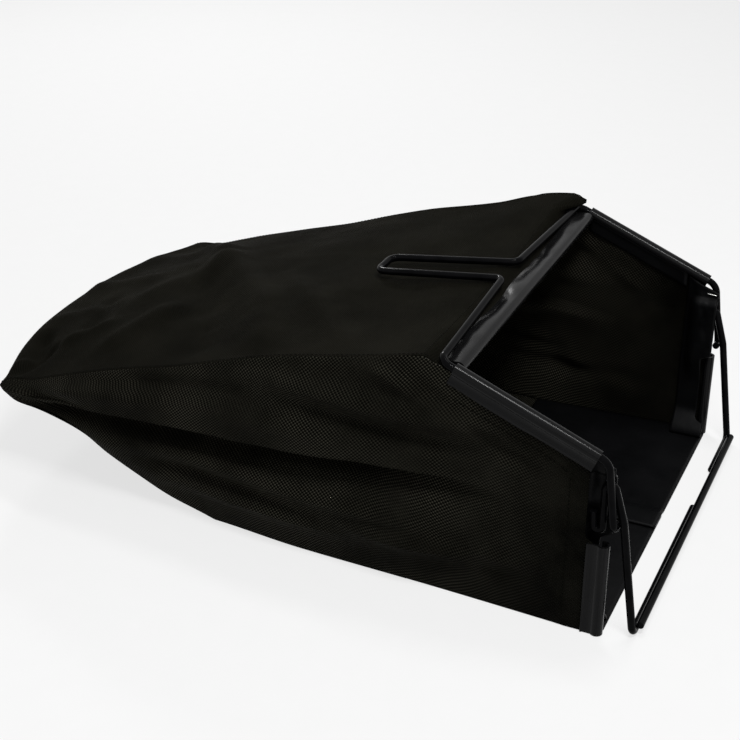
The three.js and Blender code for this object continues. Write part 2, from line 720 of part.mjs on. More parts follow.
// The vinyl strip inside the mouth's front edge: pushed inwards where the leg's curled end lies, and
// out to the hook above it.
function frontLining() {
  const lowFront = bindingOuter - LOWER_BINDING_FORWARD + TOUCH;
  const low = FLOOR_SHEET + TOUCH;
  return sheet(LINING_ROWS, spaced(0, 1, 8), LINING, (up, back) => {
    const guess = THREE.MathUtils.lerp(low, HOOK_HEIGHT, up);
    const rise = ease(LOWER_BINDING_HEIGHT, LOWER_BINDING_HEIGHT + LINING_STEP_BACK, guess);
    const front = THREE.MathUtils.lerp(lowFront, -FRONT_LINING_FORWARD, rise);
    const y = THREE.MathUtils.lerp(front, FRONT_LINING_REAR, back);
    const z = THREE.MathUtils.lerp(low, railHeight(y) - underRail - LINING_TOP_GAP, up);
    return new THREE.Vector3(-liningHalfWidth(y, z), y, z);
  });
}

function railLining() {
  const from = FRONT_LINING_REAR + 2;
  const to = RAIL_RUN - RAIL_BINDING_REAR_GAP;
  return sheet([1, 0.5, 0], spaced(from, to, 4), LINING, (down, y) => {
    const z = railHeight(y) - underRail - down * RAIL_LINING_WIDTH;
    return new THREE.Vector3(-liningFace, y, z);
  });
}

// A wire staple lying flat on the front lining's inner face.
function cornerStaple() {
  const z = HOOK_HEIGHT - STAPLE_BELOW_HOOK;
  const x = -(liningHalfWidth(STAPLE_REARWARD, z) - LINING - 2 * TOUCH - STAPLE_WIRE / 2);
  return new THREE.BoxGeometry(STAPLE_WIRE, STAPLE_LENGTH, STAPLE_WIDTH).translate(x, STAPLE_REARWARD, z);
}

add('upper_frame_wire', upperFrameWire(), steel);
add('left_leg_wire', legWire(LEFT_FOOT), steel);
add('right_leg_wire', mirrored(legWire(RIGHT_FOOT)), steel);
add('crossbar_wire', crossbarWire(), steel);
addPair('rail_binding', railBinding(), binding);
add('bar_binding', barBinding(), binding);
addPair('lower_binding', lowerBinding(), binding);
add('top_panel', topPanel(), weave);
add('left_side_panel', sidePanel(0), mesh);
add('right_side_panel', mirrored(sidePanel(1)), mesh);
add('bottom_panel', bottomPanel(), mesh);
add('left_floor_sheet', leftFloorSheet(), vinyl);
add('right_floor_sheet', rightFloorSheet(), vinyl);
addPair('front_lining', frontLining(), vinyl);
addPair('rail_lining', railLining(), vinyl);
addPair('corner_staple', cornerStaple(), staple);

// The origin goes under the middle of the bag's length.
const extent = new THREE.Box3().setFromObject(bag);
bag.position.y = -(extent.min.y + extent.max.y) / 2;

export default bag;
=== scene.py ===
"""Looks of a grass collection bag for a walk-behind mower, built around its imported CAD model.

Lengths are in millimetres and Y is measured from the corner of the side hooks, as in the CAD
source, until a mesh is made. Blender's objects are in metres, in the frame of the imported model.
"""
import math

import bpy
import numpy as np
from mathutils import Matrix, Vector


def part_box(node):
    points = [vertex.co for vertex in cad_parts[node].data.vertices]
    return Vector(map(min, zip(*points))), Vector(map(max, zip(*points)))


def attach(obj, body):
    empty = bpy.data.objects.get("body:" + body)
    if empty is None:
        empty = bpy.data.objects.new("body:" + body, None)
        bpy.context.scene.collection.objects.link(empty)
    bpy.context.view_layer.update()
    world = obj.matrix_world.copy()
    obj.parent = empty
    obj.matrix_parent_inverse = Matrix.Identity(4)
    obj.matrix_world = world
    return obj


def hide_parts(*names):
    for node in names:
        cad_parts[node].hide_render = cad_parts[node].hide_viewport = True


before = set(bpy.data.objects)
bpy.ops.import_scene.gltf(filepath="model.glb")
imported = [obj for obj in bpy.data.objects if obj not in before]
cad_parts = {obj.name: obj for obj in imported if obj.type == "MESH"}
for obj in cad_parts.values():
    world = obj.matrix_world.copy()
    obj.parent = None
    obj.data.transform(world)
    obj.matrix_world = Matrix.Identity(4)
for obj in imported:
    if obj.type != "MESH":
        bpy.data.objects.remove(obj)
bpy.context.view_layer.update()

MM = 0.001
MIRROR = np.array((-1, 1, 1))
SIDES = ((-1, "left"), (1, "right"))
FLOOR_FRONT = 6
hook_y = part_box("left_floor_sheet")[0].y + FLOOR_FRONT * MM

# Camera, solved from the corners of the wire frame in the photo
VIEW_AZIMUTH = -65.49
VIEW_ELEVATION = 27.97
CAMERA_AT = (-1219.9, -255.3, 811.8)
FOCAL_PIXELS = 1500
PHOTO_PIXELS = 740
SENSOR = 36

# Studio
WHITE = (1, 1, 1, 1)
STAGE_REACH = 8000
STAGE_BELOW = -0.0006
STAGE_GLOW = 0.72
WORLD_FILL = 0.22

# Wire frame
WIRE_DIAMETER = 7
WIRE_SIDES = 20
BEND_STEPS = 14
FRAME_WIDTH = 380
HOOK_HEIGHT = 172
RAIL_RUN = 150
RAIL_RISE = 62
HOOK_DROP = 65
HOOK_LEAN = 7.5
HOOK_TIP = 11
HOOK_TIP_RISE = 2
HOOK_TIP_BEND = 5
HOOK_BEND = 14
RAIL_BEND = 10
BAR_CROWN = 3
BAR_BOW = 7
HANDLE_REACH = 135
HANDLE_ROOT_WIDTH = 40
HANDLE_TIP_WIDTH = 35
HANDLE_DROP = 17
HANDLE_ROOT_BEND = 8
HANDLE_TIP_BEND = 9
LEG_FORWARD = 31
LEG_KNEE_HEIGHT = 112
LEG_KNEE_FORWARD = 15
LEG_KNEE_BEND = 20
LEG_TOP_HEIGHT = 146
LEG_TOP_FORWARD = 5
CURL_WIDTH = 8
CURL_BOTTOM_HEIGHT = 101
CURL_TIP_HEIGHT = 119
CURL_BEND = 3.9
FOOT_BEND = 7
LEFT_FOOT = 218
RIGHT_FOOT = 72
CROSSBAR_RISE_ANGLE = 50
CROSSBAR_INSET = 6
CUT_CHAMFER = 0.6
ROD_STATION = 12
SHARP_CUT = 40

# Snap binding
TOUCH = 0.3
BINDING_WALL = 2
BINDING_FLANGE = 8
FLANGE_STEP = 1.8
BINDING_LIP = 0.8
BINDING_LIP_WIDTH = 1.5
LIP_CORNER = 0.5
FLANGE_CORNER = 0.4
SHARP_LIP = 50
BINDING_STATION = 4
BINDING_END_CALM = 12
BINDING_WAVES = (90, 34)
BEAD_WANDER = 0.3
FLANGE_WANDER = 2.2
BINDING_OPENING = 165
BINDING_STEPS = 28
NOSE_STEPS = 3
RAIL_BINDING_FRONT_GAP = 9
RAIL_BINDING_REAR_GAP = 14
BAR_BINDING_FORWARD = 13
BAR_BINDING_END_GAP = 3
LOWER_BINDING_HEIGHT = 92
LOWER_BINDING_FORWARD = 1

# Staples
STAPLE_REACH = 9
STAPLE_LEG = 1.2
STAPLE_RADIUS = 0.5
STAPLE_CHAMFER = 0.1
STAPLE_SIDES = 10
STAPLE_TILT = 0.8
STAPLE_MIDDLE = 2
STAPLE_BELOW_HOOK = 9

# Cloth and vinyl
CLOTH = 1.2
CLOTH_IN_CAD = 1.8
LINING = 1.2
FLOOR_SHEET = 2
FLOOR_DEPTH = 180
FLOOR_LAP = 26
FLOOR_LAP_OFFSET = -2
FLOOR_STEP_RUN = 10
RAIL_LINING_WIDTH = 15
FRONT_LINING_REAR = 28
FRONT_LINING_FORWARD = 5
LINING_ABOVE_LEG = 3
LINING_FLARE = 6
LINING_STEP_IN = 14
LINING_STEP_BACK = 10
LINING_FOOT = 17
LINING_FOOT_HEIGHT = 28
LINING_CRUMPLE = (41, (30, 15, 9), 1.1)
FRONT_LINING_GRID = (70, 16)
RAIL_LINING_ROWS = 8
FLOOR_ROWS = 60
VINYL_STEP = 4
MESH_FRONT_EDGE = 15
MESH_BEHIND_BORE = 1.4
HEM = 19
RAIL_HEM = 24
TOP_HEM = 20
HEM_RISE = 0.8
HEM_BEHIND_BAR = 6
STITCH_INSET = 3
STITCH_PULL = 1.6
PUCKER = 7
STITCH_PITCH = 4.2
STITCH_LENGTH = 3.1
STITCH_RADIUS = 0.32
STITCH_PLACES = (0, 0.18, 0.5, 0.82, 1)
STITCH_HEIGHTS = (-0.35, 0.12, 0.3, 0.12, -0.35)

# Bag form
BAG_LENGTH = 611
TAIL_BULGE = 45
TAIL_BULGE_START = 298
TAIL_BULGE_POWER = 2.4
TAIL_SEAM = 1
TAIL_HEIGHT = 106
TAIL_HALF_WIDTH = 186
FLOOR_HALF_WIDTH = 182
TAIL_LIFT_START = 388
SIDE_LIP_HEIGHT = 112
SIDE_BULGE = 16
SIDE_TUCK = 34
SIDE_BELLY = 5
TUCK_DOWN = 14
TUCK_RETURN = 42
TUCK_LEFT = 0.35
TUCK_LIFT = 11
TOP_RISE_RUN = 12
SHORT_SIDE = 60

# Grids of the panels, and how far their edges lap over and turn in
GRID_STEP = 3
TOP_ROWS = 131
TOP_CROWDING = 0.35
BOTTOM_ROWS = 111
BOTTOM_STEP = 4
SEAM_OVERLAP = (1.2, 0.4)
SEAM_TURNED_IN = (1.8, -1)
UNDER_RAIL_ALLOWANCE = 0.5
TAIL_TURNED_DOWN = (0, 0.5, -2)

# Unevenness of the panels: seed, wavelengths and height
TOP_RIPPLES = (5, (150, 70, 33), 1.5)
BOTTOM_RIPPLES = (17, (110, 52, 30), 1.6)

# The same for the sides, which have a stretch too and a seed each
SIDE_RIPPLES = ((120, 55, 27), 1.3, (1, 0.6, 1.5))
LEFT_SEED = 9
RIGHT_SEED = 10

# Stuffed rear corners: push across and back, and how far each way it reaches
TAIL_NUB = (4, 5)
TAIL_NUB_SIZE = (14, 14, 9)
TAIL_NUB_AHEAD = 4

# Hood of top cloth over the right end of the bar: its pull, and where it starts, peaks and ends
PUFF_FORWARD = 24
PUFF_RISE = 4
PUFF_DROOP = 3
PUFF_ACROSS = (148, 184)
PUFF_UP = (228, 240)
PUFF_OVER = (158, 167, 192)
PUFF_RAISED = (164, 174, 200)
PUFF_DROOPED = (160, 167, 175)

wire_radius = WIRE_DIAMETER / 2
binding_bore = wire_radius + TOUCH
binding_outer = binding_bore + BINDING_WALL
half_frame = FRAME_WIDTH / 2
bar_height = HOOK_HEIGHT + RAIL_RISE
rail_length = math.hypot(RAIL_RUN, RAIL_RISE)
rail_cosine = RAIL_RUN / rail_length
rail_sine = RAIL_RISE / rail_length
flange_inside = binding_bore - FLANGE_STEP
side_face = half_frame + flange_inside - TOUCH
under_rail = binding_bore / rail_cosine
behind_bar = RAIL_RUN + wire_radius + 1
bar_binding_y = RAIL_RUN - BAR_BINDING_FORWARD
bar_binding_z = bar_height - wire_radius - binding_outer + FLANGE_STEP - BINDING_LIP - TOUCH
bar_binding_half = half_frame - binding_outer - BAR_BINDING_END_GAP
leg_plane = half_frame - WIRE_DIAMETER - TOUCH
lining_face = side_face - CLOTH_IN_CAD - TOUCH
beside_curl = leg_plane - wire_radius - TOUCH
beside_hook = half_frame - wire_radius - TOUCH


def lerp(a, b, share):
    return a + (b - a) * share


def ease(start, end, x):
    share = np.clip((np.asarray(x, float) - start) / (end - start), 0, 1)
    return share * share * (3 - 2 * share)


def fade(start, end, x):
    return 1 - ease(start, end, x)


def hump(x, start, top, end):
    return ease(start, top, x) * fade(top, end, x)


def through(*pairs):
    """A cubic through (place, value) pairs that never swings past them."""
    places, values = np.array(pairs, float).T
    slopes = np.diff(values) / np.diff(places)
    before = np.concatenate([slopes[:1], slopes])
    after = np.concatenate([slopes, slopes[-1:]])
    same_way = before * after > 0
    total = np.where(same_way, before + after, 1)
    tangents = np.where(same_way, 2 * before * after / total, 0)

    def at(x):
        x = np.clip(np.asarray(x, float), places[0], places[-1])
        i = np.clip(np.searchsorted(places, x, side="right") - 1, 0, len(places) - 2)
        width = places[i + 1] - places[i]
        t = (x - places[i]) / width
        start = (1 + 2 * t) * (1 - t) ** 2 * values[i] + t * (1 - t) ** 2 * width * tangents[i]
        end = t * t * (3 - 2 * t) * values[i + 1] + t * t * (t - 1) * width * tangents[i + 1]
        return start + end

    return at


# Curves along the bag, as (y, value) pairs
seam_height = through(
    (behind_bar, bar_height - under_rail), (behind_bar + TOP_RISE_RUN, bar_height),
    (200, bar_height - 6), (238, 219), (304, 205), (351, 191), (412, 171), (460, 158),
    (508, 143), (545, 130), (580, 118), (598, 115), (607, 111.5),
    (BAG_LENGTH, TAIL_HEIGHT),
)
floor_height = through(
    (TAIL_LIFT_START, 0), (432, 13), (470, 32), (502, 51), (524, 67), (545, 76),
    (578, 85), (598, 88), (606, 92), (BAG_LENGTH, TAIL_HEIGHT - TAIL_SEAM),
)
floor_half_width = through(
    (FRONT_LINING_REAR + 6, side_face), (157, FLOOR_HALF_WIDTH + 4),
    (290, FLOOR_HALF_WIDTH), (405, FLOOR_HALF_WIDTH - 9), (470, FLOOR_HALF_WIDTH - 5),
    (522, FLOOR_HALF_WIDTH), (BAG_LENGTH, TAIL_HALF_WIDTH),
)
seam_half_width = through(
    (RAIL_RUN, side_face), (RAIL_RUN + 22, half_frame + 1), (400, half_frame + 1),
    (BAG_LENGTH, TAIL_HALF_WIDTH),
)
lip_height = through(
    (20, SIDE_LIP_HEIGHT - 4), (157, SIDE_LIP_HEIGHT + 12), (284, SIDE_LIP_HEIGHT + 6),
    (465, SIDE_LIP_HEIGHT - 4), (540, SIDE_LIP_HEIGHT - 8), (585, SIDE_LIP_HEIGHT - 12),
    (BAG_LENGTH, TAIL_HEIGHT - TAIL_SEAM / 2),
)
side_bulge = through(
    (60, 0), (130, 1.5), (170, SIDE_BULGE * 0.55), (280, SIDE_BULGE), (465, SIDE_BULGE),
    (545, SIDE_BULGE * 0.7), (BAG_LENGTH, 0),
)
side_tuck = through(
    (90, 0), (160, SIDE_TUCK * 0.5), (240, SIDE_TUCK), (430, SIDE_TUCK),
    (500, SIDE_TUCK * 0.85), (560, SIDE_TUCK * 0.7), (590, SIDE_TUCK * 0.3),
    (BAG_LENGTH, 0),
)
right_rise = through(
    (RAIL_RUN, 0), (behind_bar + TOP_RISE_RUN, 9), (192, 9), (238, 4), (290, 1),
    (351, 0), (475, -3), (528, -2), (582, -1), (BAG_LENGTH, 0),
)
top_crown = through(
    (RAIL_RUN, 0), (RAIL_RUN + 20, -4), (240, -1), (350, 7), (470, 9), (BAG_LENGTH, 0),
)
rear_sag = through(
    (TAIL_LIFT_START, 0), (450, 8), (540, 9), (BAG_LENGTH, 0),
)

# Folds in the top cloth, as (x, y) from and to, then width and height of the ridge
TOP_FOLDS = (
    ((135, 560), (82, 505), 20, 8),
    ((82, 513), (-70, 383), 24, 11),
    ((-60, 388), (-178, 325), 22, 9),
    ((40, 520), (-100, 430), 26, -8),
    ((-100, 432), (-172, 400), 20, -6),
    ((-10, 380), (-165, 250), 16, 5),
    ((60, 330), (-60, 210), 20, -3),
    ((60, 490), (-60, 540), 22, 6),
    ((-60, 475), (-150, 520), 20, 6),
    ((-20, 590), (-110, 560), 14, -5),
    ((-95, 540), (-128, 590), 14, 5),
    ((-45, 560), (-60, 645), 18, 4),
    ((20, 560), (30, 650), 18, 4),
    ((95, 545), (120, 630), 18, 3),
    ((-155, 600), (-95, 628), 13, -10),
    ((-184, 604), (-120, 588), 8, -6),
    ((-176, 620), (-140, 608), 8, 5),
)

# Folds in the side mesh, as (y, z) from and to, then width and height
SIDE_FOLDS = (
    ((575, 93), (361, 96), 11, -8),
    ((361, 97), (200, 113), 11, -8),
    ((440, 76), (165, 64), 10, 8),
    ((442, 56), (225, 42), 9, -8),
    ((416, 40), (78, 47), 13, 9),
    ((160, 62), (75, 30), 12, -4),
    ((220, 222), (95, 168), 11, 7),
    ((180, 212), (70, 150), 9, -6),
    ((330, 182), (135, 174), 15, 9),
    ((300, 168), (120, 152), 12, -6),
    ((480, 146), (330, 160), 12, -5),
    ((560, 118), (430, 132), 12, 5),
    ((400, 136), (240, 140), 14, 4),
    ((520, 108), (590, 106), 8, -4),
)


def folds(pattern, a, b):
    """Height of all the folds of a pattern at the places (a, b)."""
    total = np.zeros(np.broadcast(a, b).shape)
    for (a0, b0), (a1, b1), width, height in pattern:
        run_a, run_b = a1 - a0, b1 - b0
        length = math.hypot(run_a, run_b)
        share = ((a - a0) * run_a + (b - b0) * run_b) / length ** 2
        aside = ((a - a0) * run_b - (b - b0) * run_a) / length / width
        ends = ease(-0.2, 0.25, share) * fade(0.75, 1.2, share)
        total += height * ends * np.exp(-1.5 * aside * aside)
    return total


def ripples(points, seed, wavelengths, height, stretch=(1, 1, 1)):
    """Soft unevenness: a seeded sum of waves that cross each other in all directions."""
    random = np.random.default_rng(seed)
    total = np.zeros(points.shape[:-1])
    for wavelength in wavelengths:
        for _ in range(5):
            direction = random.normal(size=3)
            direction /= np.linalg.norm(direction)
            phase = random.uniform(0, 2 * math.pi)
            wave = points @ (direction * np.array(stretch)) * 2 * math.pi / wavelength + phase
            total += np.sin(wave + 1.3 * np.sin(0.37 * wave + phase)) * wavelength / wavelengths[0]
    return total * height / (5 * len(wavelengths)) ** 0.5


def rail_height(y):
    return HOOK_HEIGHT + RAIL_RISE / RAIL_RUN * y


def side_top(y, rise):
    under = np.minimum(rail_height(y), bar_height) - under_rail
    return np.where(y < behind_bar, under, seam_height(y) + rise * right_rise(y))


def side_half_width(y, z, rise):
    lip = lip_height(y)
    top = side_top(y, rise)
    bottom = floor_height(y)
    widest = lerp(floor_half_width(y), seam_half_width(y), 0.5) + side_bulge(y)
    up = np.clip((z - lip) / (top - lip), 0, 1)
    power = lerp(2, 0.8, ease(120, 220, y))
    above = seam_half_width(y) + (widest - seam_half_width(y)) * (1 - up) ** power
    below = np.maximum(lip - z, 0)
    down = np.clip(below / (lip - bottom), 0, 1)
    returned = (1 - TUCK_LEFT) * ease(TUCK_DOWN, TUCK_RETURN, below)
    tucked = side_tuck(y) * ease(0, TUCK_DOWN, below) * (1 - returned) * (1 - down)
    full = ease(90, 200, y) * np.minimum(1, (lip - bottom) / SHORT_SIDE)
    belly = SIDE_BELLY * full * 4 * down * (1 - down)
    under = lerp(widest, floor_half_width(y), down) - tucked + belly
    return np.where(z > lip, above, under)


def puffed(grid, station):
    """Draws the cloth forward over the right end of the bar, where it stands up in a soft hood."""
    x, y, z = np.moveaxis(grid, -1, 0)
    near = ease(*PUFF_ACROSS, x) * ease(*PUFF_UP, z)
    forward = PUFF_FORWARD * near * hump(station, *PUFF_OVER)
    lift = PUFF_RISE * hump(station, *PUFF_RAISED) - PUFF_DROOP * hump(station, *PUFF_DROOPED)
    return np.stack([x, y - forward, z + lift * near], -1)


def nubbed(grid):
    """Pushes the two rear corners out, where the seam allowances fill them."""
    x, y, z = np.moveaxis(grid, -1, 0)
    at = (TAIL_HALF_WIDTH, BAG_LENGTH - TAIL_NUB_AHEAD, TAIL_HEIGHT - TAIL_SEAM)
    offsets = (np.abs(x) - at[0], y - at[1], z - at[2])
    near = np.exp(-sum((offset / size) ** 2 for offset, size in zip(offsets, TAIL_NUB_SIZE)))
    return np.stack([x + np.sign(x) * TAIL_NUB[0] * near, y + TAIL_NUB[1] * near, z], -1)


def bulged(y, share):
    """Places drawn back towards the middle of the width, where the tail bulges."""
    reach = TAIL_BULGE * (1 - np.abs(share) ** TAIL_BULGE_POWER)
    return y + reach * ease(TAIL_BULGE_START, BAG_LENGTH, y)


def spaced(*runs):
    """Stations along runs of (from, to, step), each station once."""
    parts = []
    for start, end, step in runs:
        count = max(1, round(abs(end - start) / step))
        part = np.linspace(start, end, count + 1)
        parts.append(part if not parts else part[1:] if part[0] == parts[-1][-1] else part)
    return np.concatenate(parts)


# Mesh making

def to_row(points):
    return np.asarray(points, float) * MM + np.array((0, hook_y, 0))


def linked(name, data):
    made = bpy.data.objects.new(name, data)
    bpy.context.scene.collection.objects.link(made)
    return made


def mesh_object(name, points, faces, uv=None):
    data = bpy.data.meshes.new(name)
    data.from_pydata(to_row(points).tolist(), [], faces)
    if uv is not None:
        layer = data.uv_layers.new(name="cloth")
        corners = np.zeros(len(data.loops), int)
        data.loops.foreach_get("vertex_index", corners)
        layer.data.foreach_set("uv", (np.asarray(uv)[corners] * MM).ravel())
    data.polygons.foreach_set("use_smooth", [True] * len(data.polygons))
    data.update()
    return linked(name, data)


def ring_faces(rings, sides):
    """Faces of a tube with closed ends, from rings of points one after the other."""
    faces = []
    for i in range(rings - 1):
        for k in range(sides):
            a, b = i * sides + k, i * sides + (k + 1) % sides
            faces.append([a, b, b + sides, a + sides])
    faces.append(list(range(sides))[::-1])
    faces.append([(rings - 1) * sides + k for k in range(sides)])
    return faces


def dress(piece, slot, material, *nodes):
    piece.data.materials.append(material)
    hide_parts(*nodes)
    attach(piece, "root")
    return piece


def unit(vectors):
    return vectors / np.maximum(np.linalg.norm(vectors, axis=-1, keepdims=True), 1e-9)


def grid_normals(grid):
    return unit(np.cross(np.gradient(grid, axis=0), np.gradient(grid, axis=1)))


def as_grid(x, y, z):
    return np.stack(np.broadcast_arrays(x, y, z), -1)


def lifted(grid, height):
    return grid + grid_normals(grid) * height[..., None]


def arc_lengths(grid, axis):
    steps = np.linalg.norm(np.diff(grid, axis=axis), axis=-1)
    total = np.cumsum(steps, axis=axis)
    start = np.zeros_like(np.take(total, [0], axis=axis))
    return np.concatenate([start, total], axis=axis)


def shell(name, outer, thickness):
    """A closed sheet with its outer face on a grid of points. Its UV is its cut, in metres."""
    rows, columns = outer.shape[:2]
    inner = outer - grid_normals(outer) * thickness
    ids = np.arange(rows * columns).reshape(rows, columns)
    a, b, c, d = ids[:-1, :-1], ids[1:, :-1], ids[1:, 1:], ids[:-1, 1:]
    count = rows * columns
    faces = np.stack([a, b, c, d], -1).reshape(-1, 4).tolist()
    faces += (np.stack([a, d, c, b], -1) + count).reshape(-1, 4).tolist()
    rim = np.concatenate([ids[0, :-1], ids[:-1, -1], ids[-1, :0:-1], ids[:0:-1, 0]]).tolist()
    for here, there in zip(rim, rim[1:] + rim[:1]):
        faces.append([here, there, there + count, here + count])
    across = arc_lengths(outer, 0)
    along = arc_lengths(outer, 1) + outer[:, :1, 1]
    uv = np.stack([along, across - across[rows // 2]], -1).reshape(-1, 2)
    points = np.concatenate([outer.reshape(-1, 3), inner.reshape(-1, 3)])
    return mesh_object(name, points, faces, np.concatenate([uv, uv]))


def mirror_grid(grid):
    """The same sheet on the other side, with its rows reversed so that outside stays outside."""
    return (grid * MIRROR)[::-1]


# Wires

class Path:
    """Stations of a centreline: straight runs between corners, each rounded to its bend radius."""

    def __init__(self, corners):
        self.points = []
        self.tangents = []
        places = [Vector(place) for place, _ in corners]
        self.add(places[0], (places[1] - places[0]).normalized())
        for i in range(1, len(corners) - 1):
            self.round(*places[i - 1:i + 2], corners[i][1])
        self.add(places[-1], (places[-1] - places[-2]).normalized())

    def add(self, point, tangent):
        self.points.append(point)
        self.tangents.append(tangent)

    def round(self, before, here, after, bend):
        inward = (here - before).normalized()
        outward = (after - here).normalized()
        turn = inward.angle(outward)
        axis = inward.cross(outward).normalized()
        to_centre = axis.cross(inward)
        start = here - inward * bend * math.tan(turn / 2)
        for i in range(BEND_STEPS + 1):
            angle = turn * i / BEND_STEPS
            ahead = inward * math.sin(angle) + to_centre * (1 - math.cos(angle))
            self.add(start + ahead * bend, inward * math.cos(angle) + to_centre * math.sin(angle))


def densified(path):
    """Adds stations on the straight runs, so that shading has points to work with."""
    points = [path.points[0]]
    tangents = [path.tangents[0]]
    for point, tangent in zip(path.points[1:], path.tangents[1:]):
        gap = (point - points[-1]).length
        count = max(1, round(gap / ROD_STATION))
        start = points[-1]
        for i in range(1, count):
            points.append(start.lerp(point, i / count))
            tangents.append(tangent)
        points.append(point)
        tangents.append(tangent)
    return points, tangents


def rod(corners, radius=wire_radius, chamfer=CUT_CHAMFER, sides=WIRE_SIDES):
    """Points and faces of a round rod along corners, with chamfered cut ends."""
    points, tangents = densified(Path(corners))
    first, last = points[0], points[-1]
    start = [first, first + tangents[0] * chamfer]
    points = start + points[1:-1] + [last - tangents[-1] * chamfer, last]
    tangents = [tangents[0]] * 2 + tangents[1:-1] + [tangents[-1]] * 2
    radii = [radius - chamfer] + [radius] * (len(points) - 2) + [radius - chamfer]
    side = tangents[0].orthogonal().normalized()
    rings = []
    for point, tangent, size in zip(points, tangents, radii):
        side = (side - tangent * side.dot(tangent)).normalized()
        up = tangent.cross(side)
        for k in range(sides):
            angle = 2 * math.pi * k / sides
            rings.append(point + (side * math.cos(angle) + up * math.sin(angle)) * size)
    return np.array([tuple(p) for p in rings]), ring_faces(len(points), sides)


def joined(parts):
    """One set of points and faces from several."""
    points, faces, count = [], [], 0
    for some_points, some_faces in parts:
        points.append(some_points)
        faces += [[index + count for index in face] for face in some_faces]
        count += len(some_points)
    return np.concatenate(points), faces


def sharp_ends(piece, limit):
    """Smooth shading everywhere but across edges that turn more than the limit, in degrees."""
    piece.data.set_sharp_from_angle(angle=math.radians(limit))


def upper_frame_corners():
    lean = math.radians(HOOK_LEAN)
    hook_end = (-HOOK_DROP * math.sin(lean), HOOK_HEIGHT - HOOK_DROP * math.cos(lean))
    root = (RAIL_RUN + BAR_BOW, bar_height + BAR_CROWN)
    tip = (RAIL_RUN + HANDLE_REACH, root[1] - HANDLE_DROP)

    def half(sign):
        return [
            ((sign * (half_frame - HOOK_TIP), hook_end[0], hook_end[1] + HOOK_TIP_RISE), 0),
            ((sign * half_frame, *hook_end), HOOK_TIP_BEND),
            ((sign * half_frame, 0, HOOK_HEIGHT), HOOK_BEND),
            ((sign * half_frame, RAIL_RUN, bar_height), RAIL_BEND),
            ((sign * HANDLE_ROOT_WIDTH / 2, *root), HANDLE_ROOT_BEND),
            ((sign * HANDLE_TIP_WIDTH / 2, *tip), HANDLE_TIP_BEND),
        ]

    return half(-1) + half(1)[::-1]


def leg_corners(sign, foot):
    x = sign * leg_plane
    inner = CURL_WIDTH - LEG_TOP_FORWARD
    return [
        ((x, inner + CURL_WIDTH + 1, CURL_TIP_HEIGHT), 0),
        ((x, inner + CURL_WIDTH, CURL_BOTTOM_HEIGHT), CURL_BEND),
        ((x, inner, CURL_BOTTOM_HEIGHT), CURL_BEND),
        ((x, inner, LEG_TOP_HEIGHT), CURL_BEND),
        ((x, -LEG_TOP_FORWARD, LEG_TOP_HEIGHT), CURL_BEND),
        ((x, -LEG_KNEE_FORWARD, LEG_KNEE_HEIGHT), LEG_KNEE_BEND),
        ((x, -LEG_FORWARD, wire_radius), FOOT_BEND),
        ((x - sign * foot, -LEG_FORWARD, wire_radius), 0),
    ]


def crossbar_corners():
    rise = math.radians(CROSSBAR_RISE_ANGLE)
    away = WIRE_DIAMETER + TOUCH
    y = -LEG_FORWARD - away * math.cos(rise)
    z = wire_radius + away * math.sin(rise)
    end = leg_plane - CROSSBAR_INSET
    return [((-end, y, z), 0), ((end, y, z), 0)]


def make_wires(material):
    for name, corners in (
        ("upper_frame_wire", upper_frame_corners()),
        ("left_leg_wire", leg_corners(-1, LEFT_FOOT)),
        ("right_leg_wire", leg_corners(1, RIGHT_FOOT)),
        ("crossbar_wire", crossbar_corners()),
    ):
        points, faces = rod(corners)
        piece = mesh_object(f"{name}_rod", points, faces)
        sharp_ends(piece, SHARP_CUT)
        dress(piece, "frame_steel", material, name)


# Snap bindings

def arc(radius, start, end):
    angles = np.linspace(start, end, BINDING_STEPS)
    return [(radius * math.cos(t), radius * math.sin(t)) for t in angles]


def binding_outline(filled):
    """The section as points: x towards the flange's side, y away from its free edge.

    Filled, the bead runs into the flange without a step.
    """
    flange_outside = binding_outer - FLANGE_STEP
    start = 0 if filled else -math.acos(flange_outside / binding_outer)
    end = math.radians(360 - BINDING_OPENING)
    inner_start = -math.acos(flange_inside / binding_bore)
    flange_end = -(binding_outer + BINDING_FLANGE)
    lip = flange_outside + BINDING_LIP
    middle = (binding_outer + binding_bore) / 2
    wall = BINDING_WALL / 2
    nose = [
        (
            middle * math.cos(end) + wall * math.cos(end + turn),
            middle * math.sin(end) + wall * math.sin(end + turn),
        )
        for turn in np.linspace(0, math.pi, NOSE_STEPS + 2)[1:-1]
    ]
    edge = [
        (flange_inside, flange_end + FLANGE_CORNER),
        (flange_inside + FLANGE_CORNER, flange_end),
        (lip - LIP_CORNER, flange_end),
        (lip, flange_end + LIP_CORNER),
    ]
    groove = [
        (lip, flange_end + BINDING_LIP_WIDTH - 0.4),
        (lip - 0.35, flange_end + BINDING_LIP_WIDTH + 0.1),
        (flange_outside, flange_end + BINDING_LIP_WIDTH + BINDING_LIP),
    ]
    outer = arc(binding_outer, start, end)
    inner = arc(binding_bore, end, inner_start)
    return outer + nose + inner + edge + ([] if filled else groove)


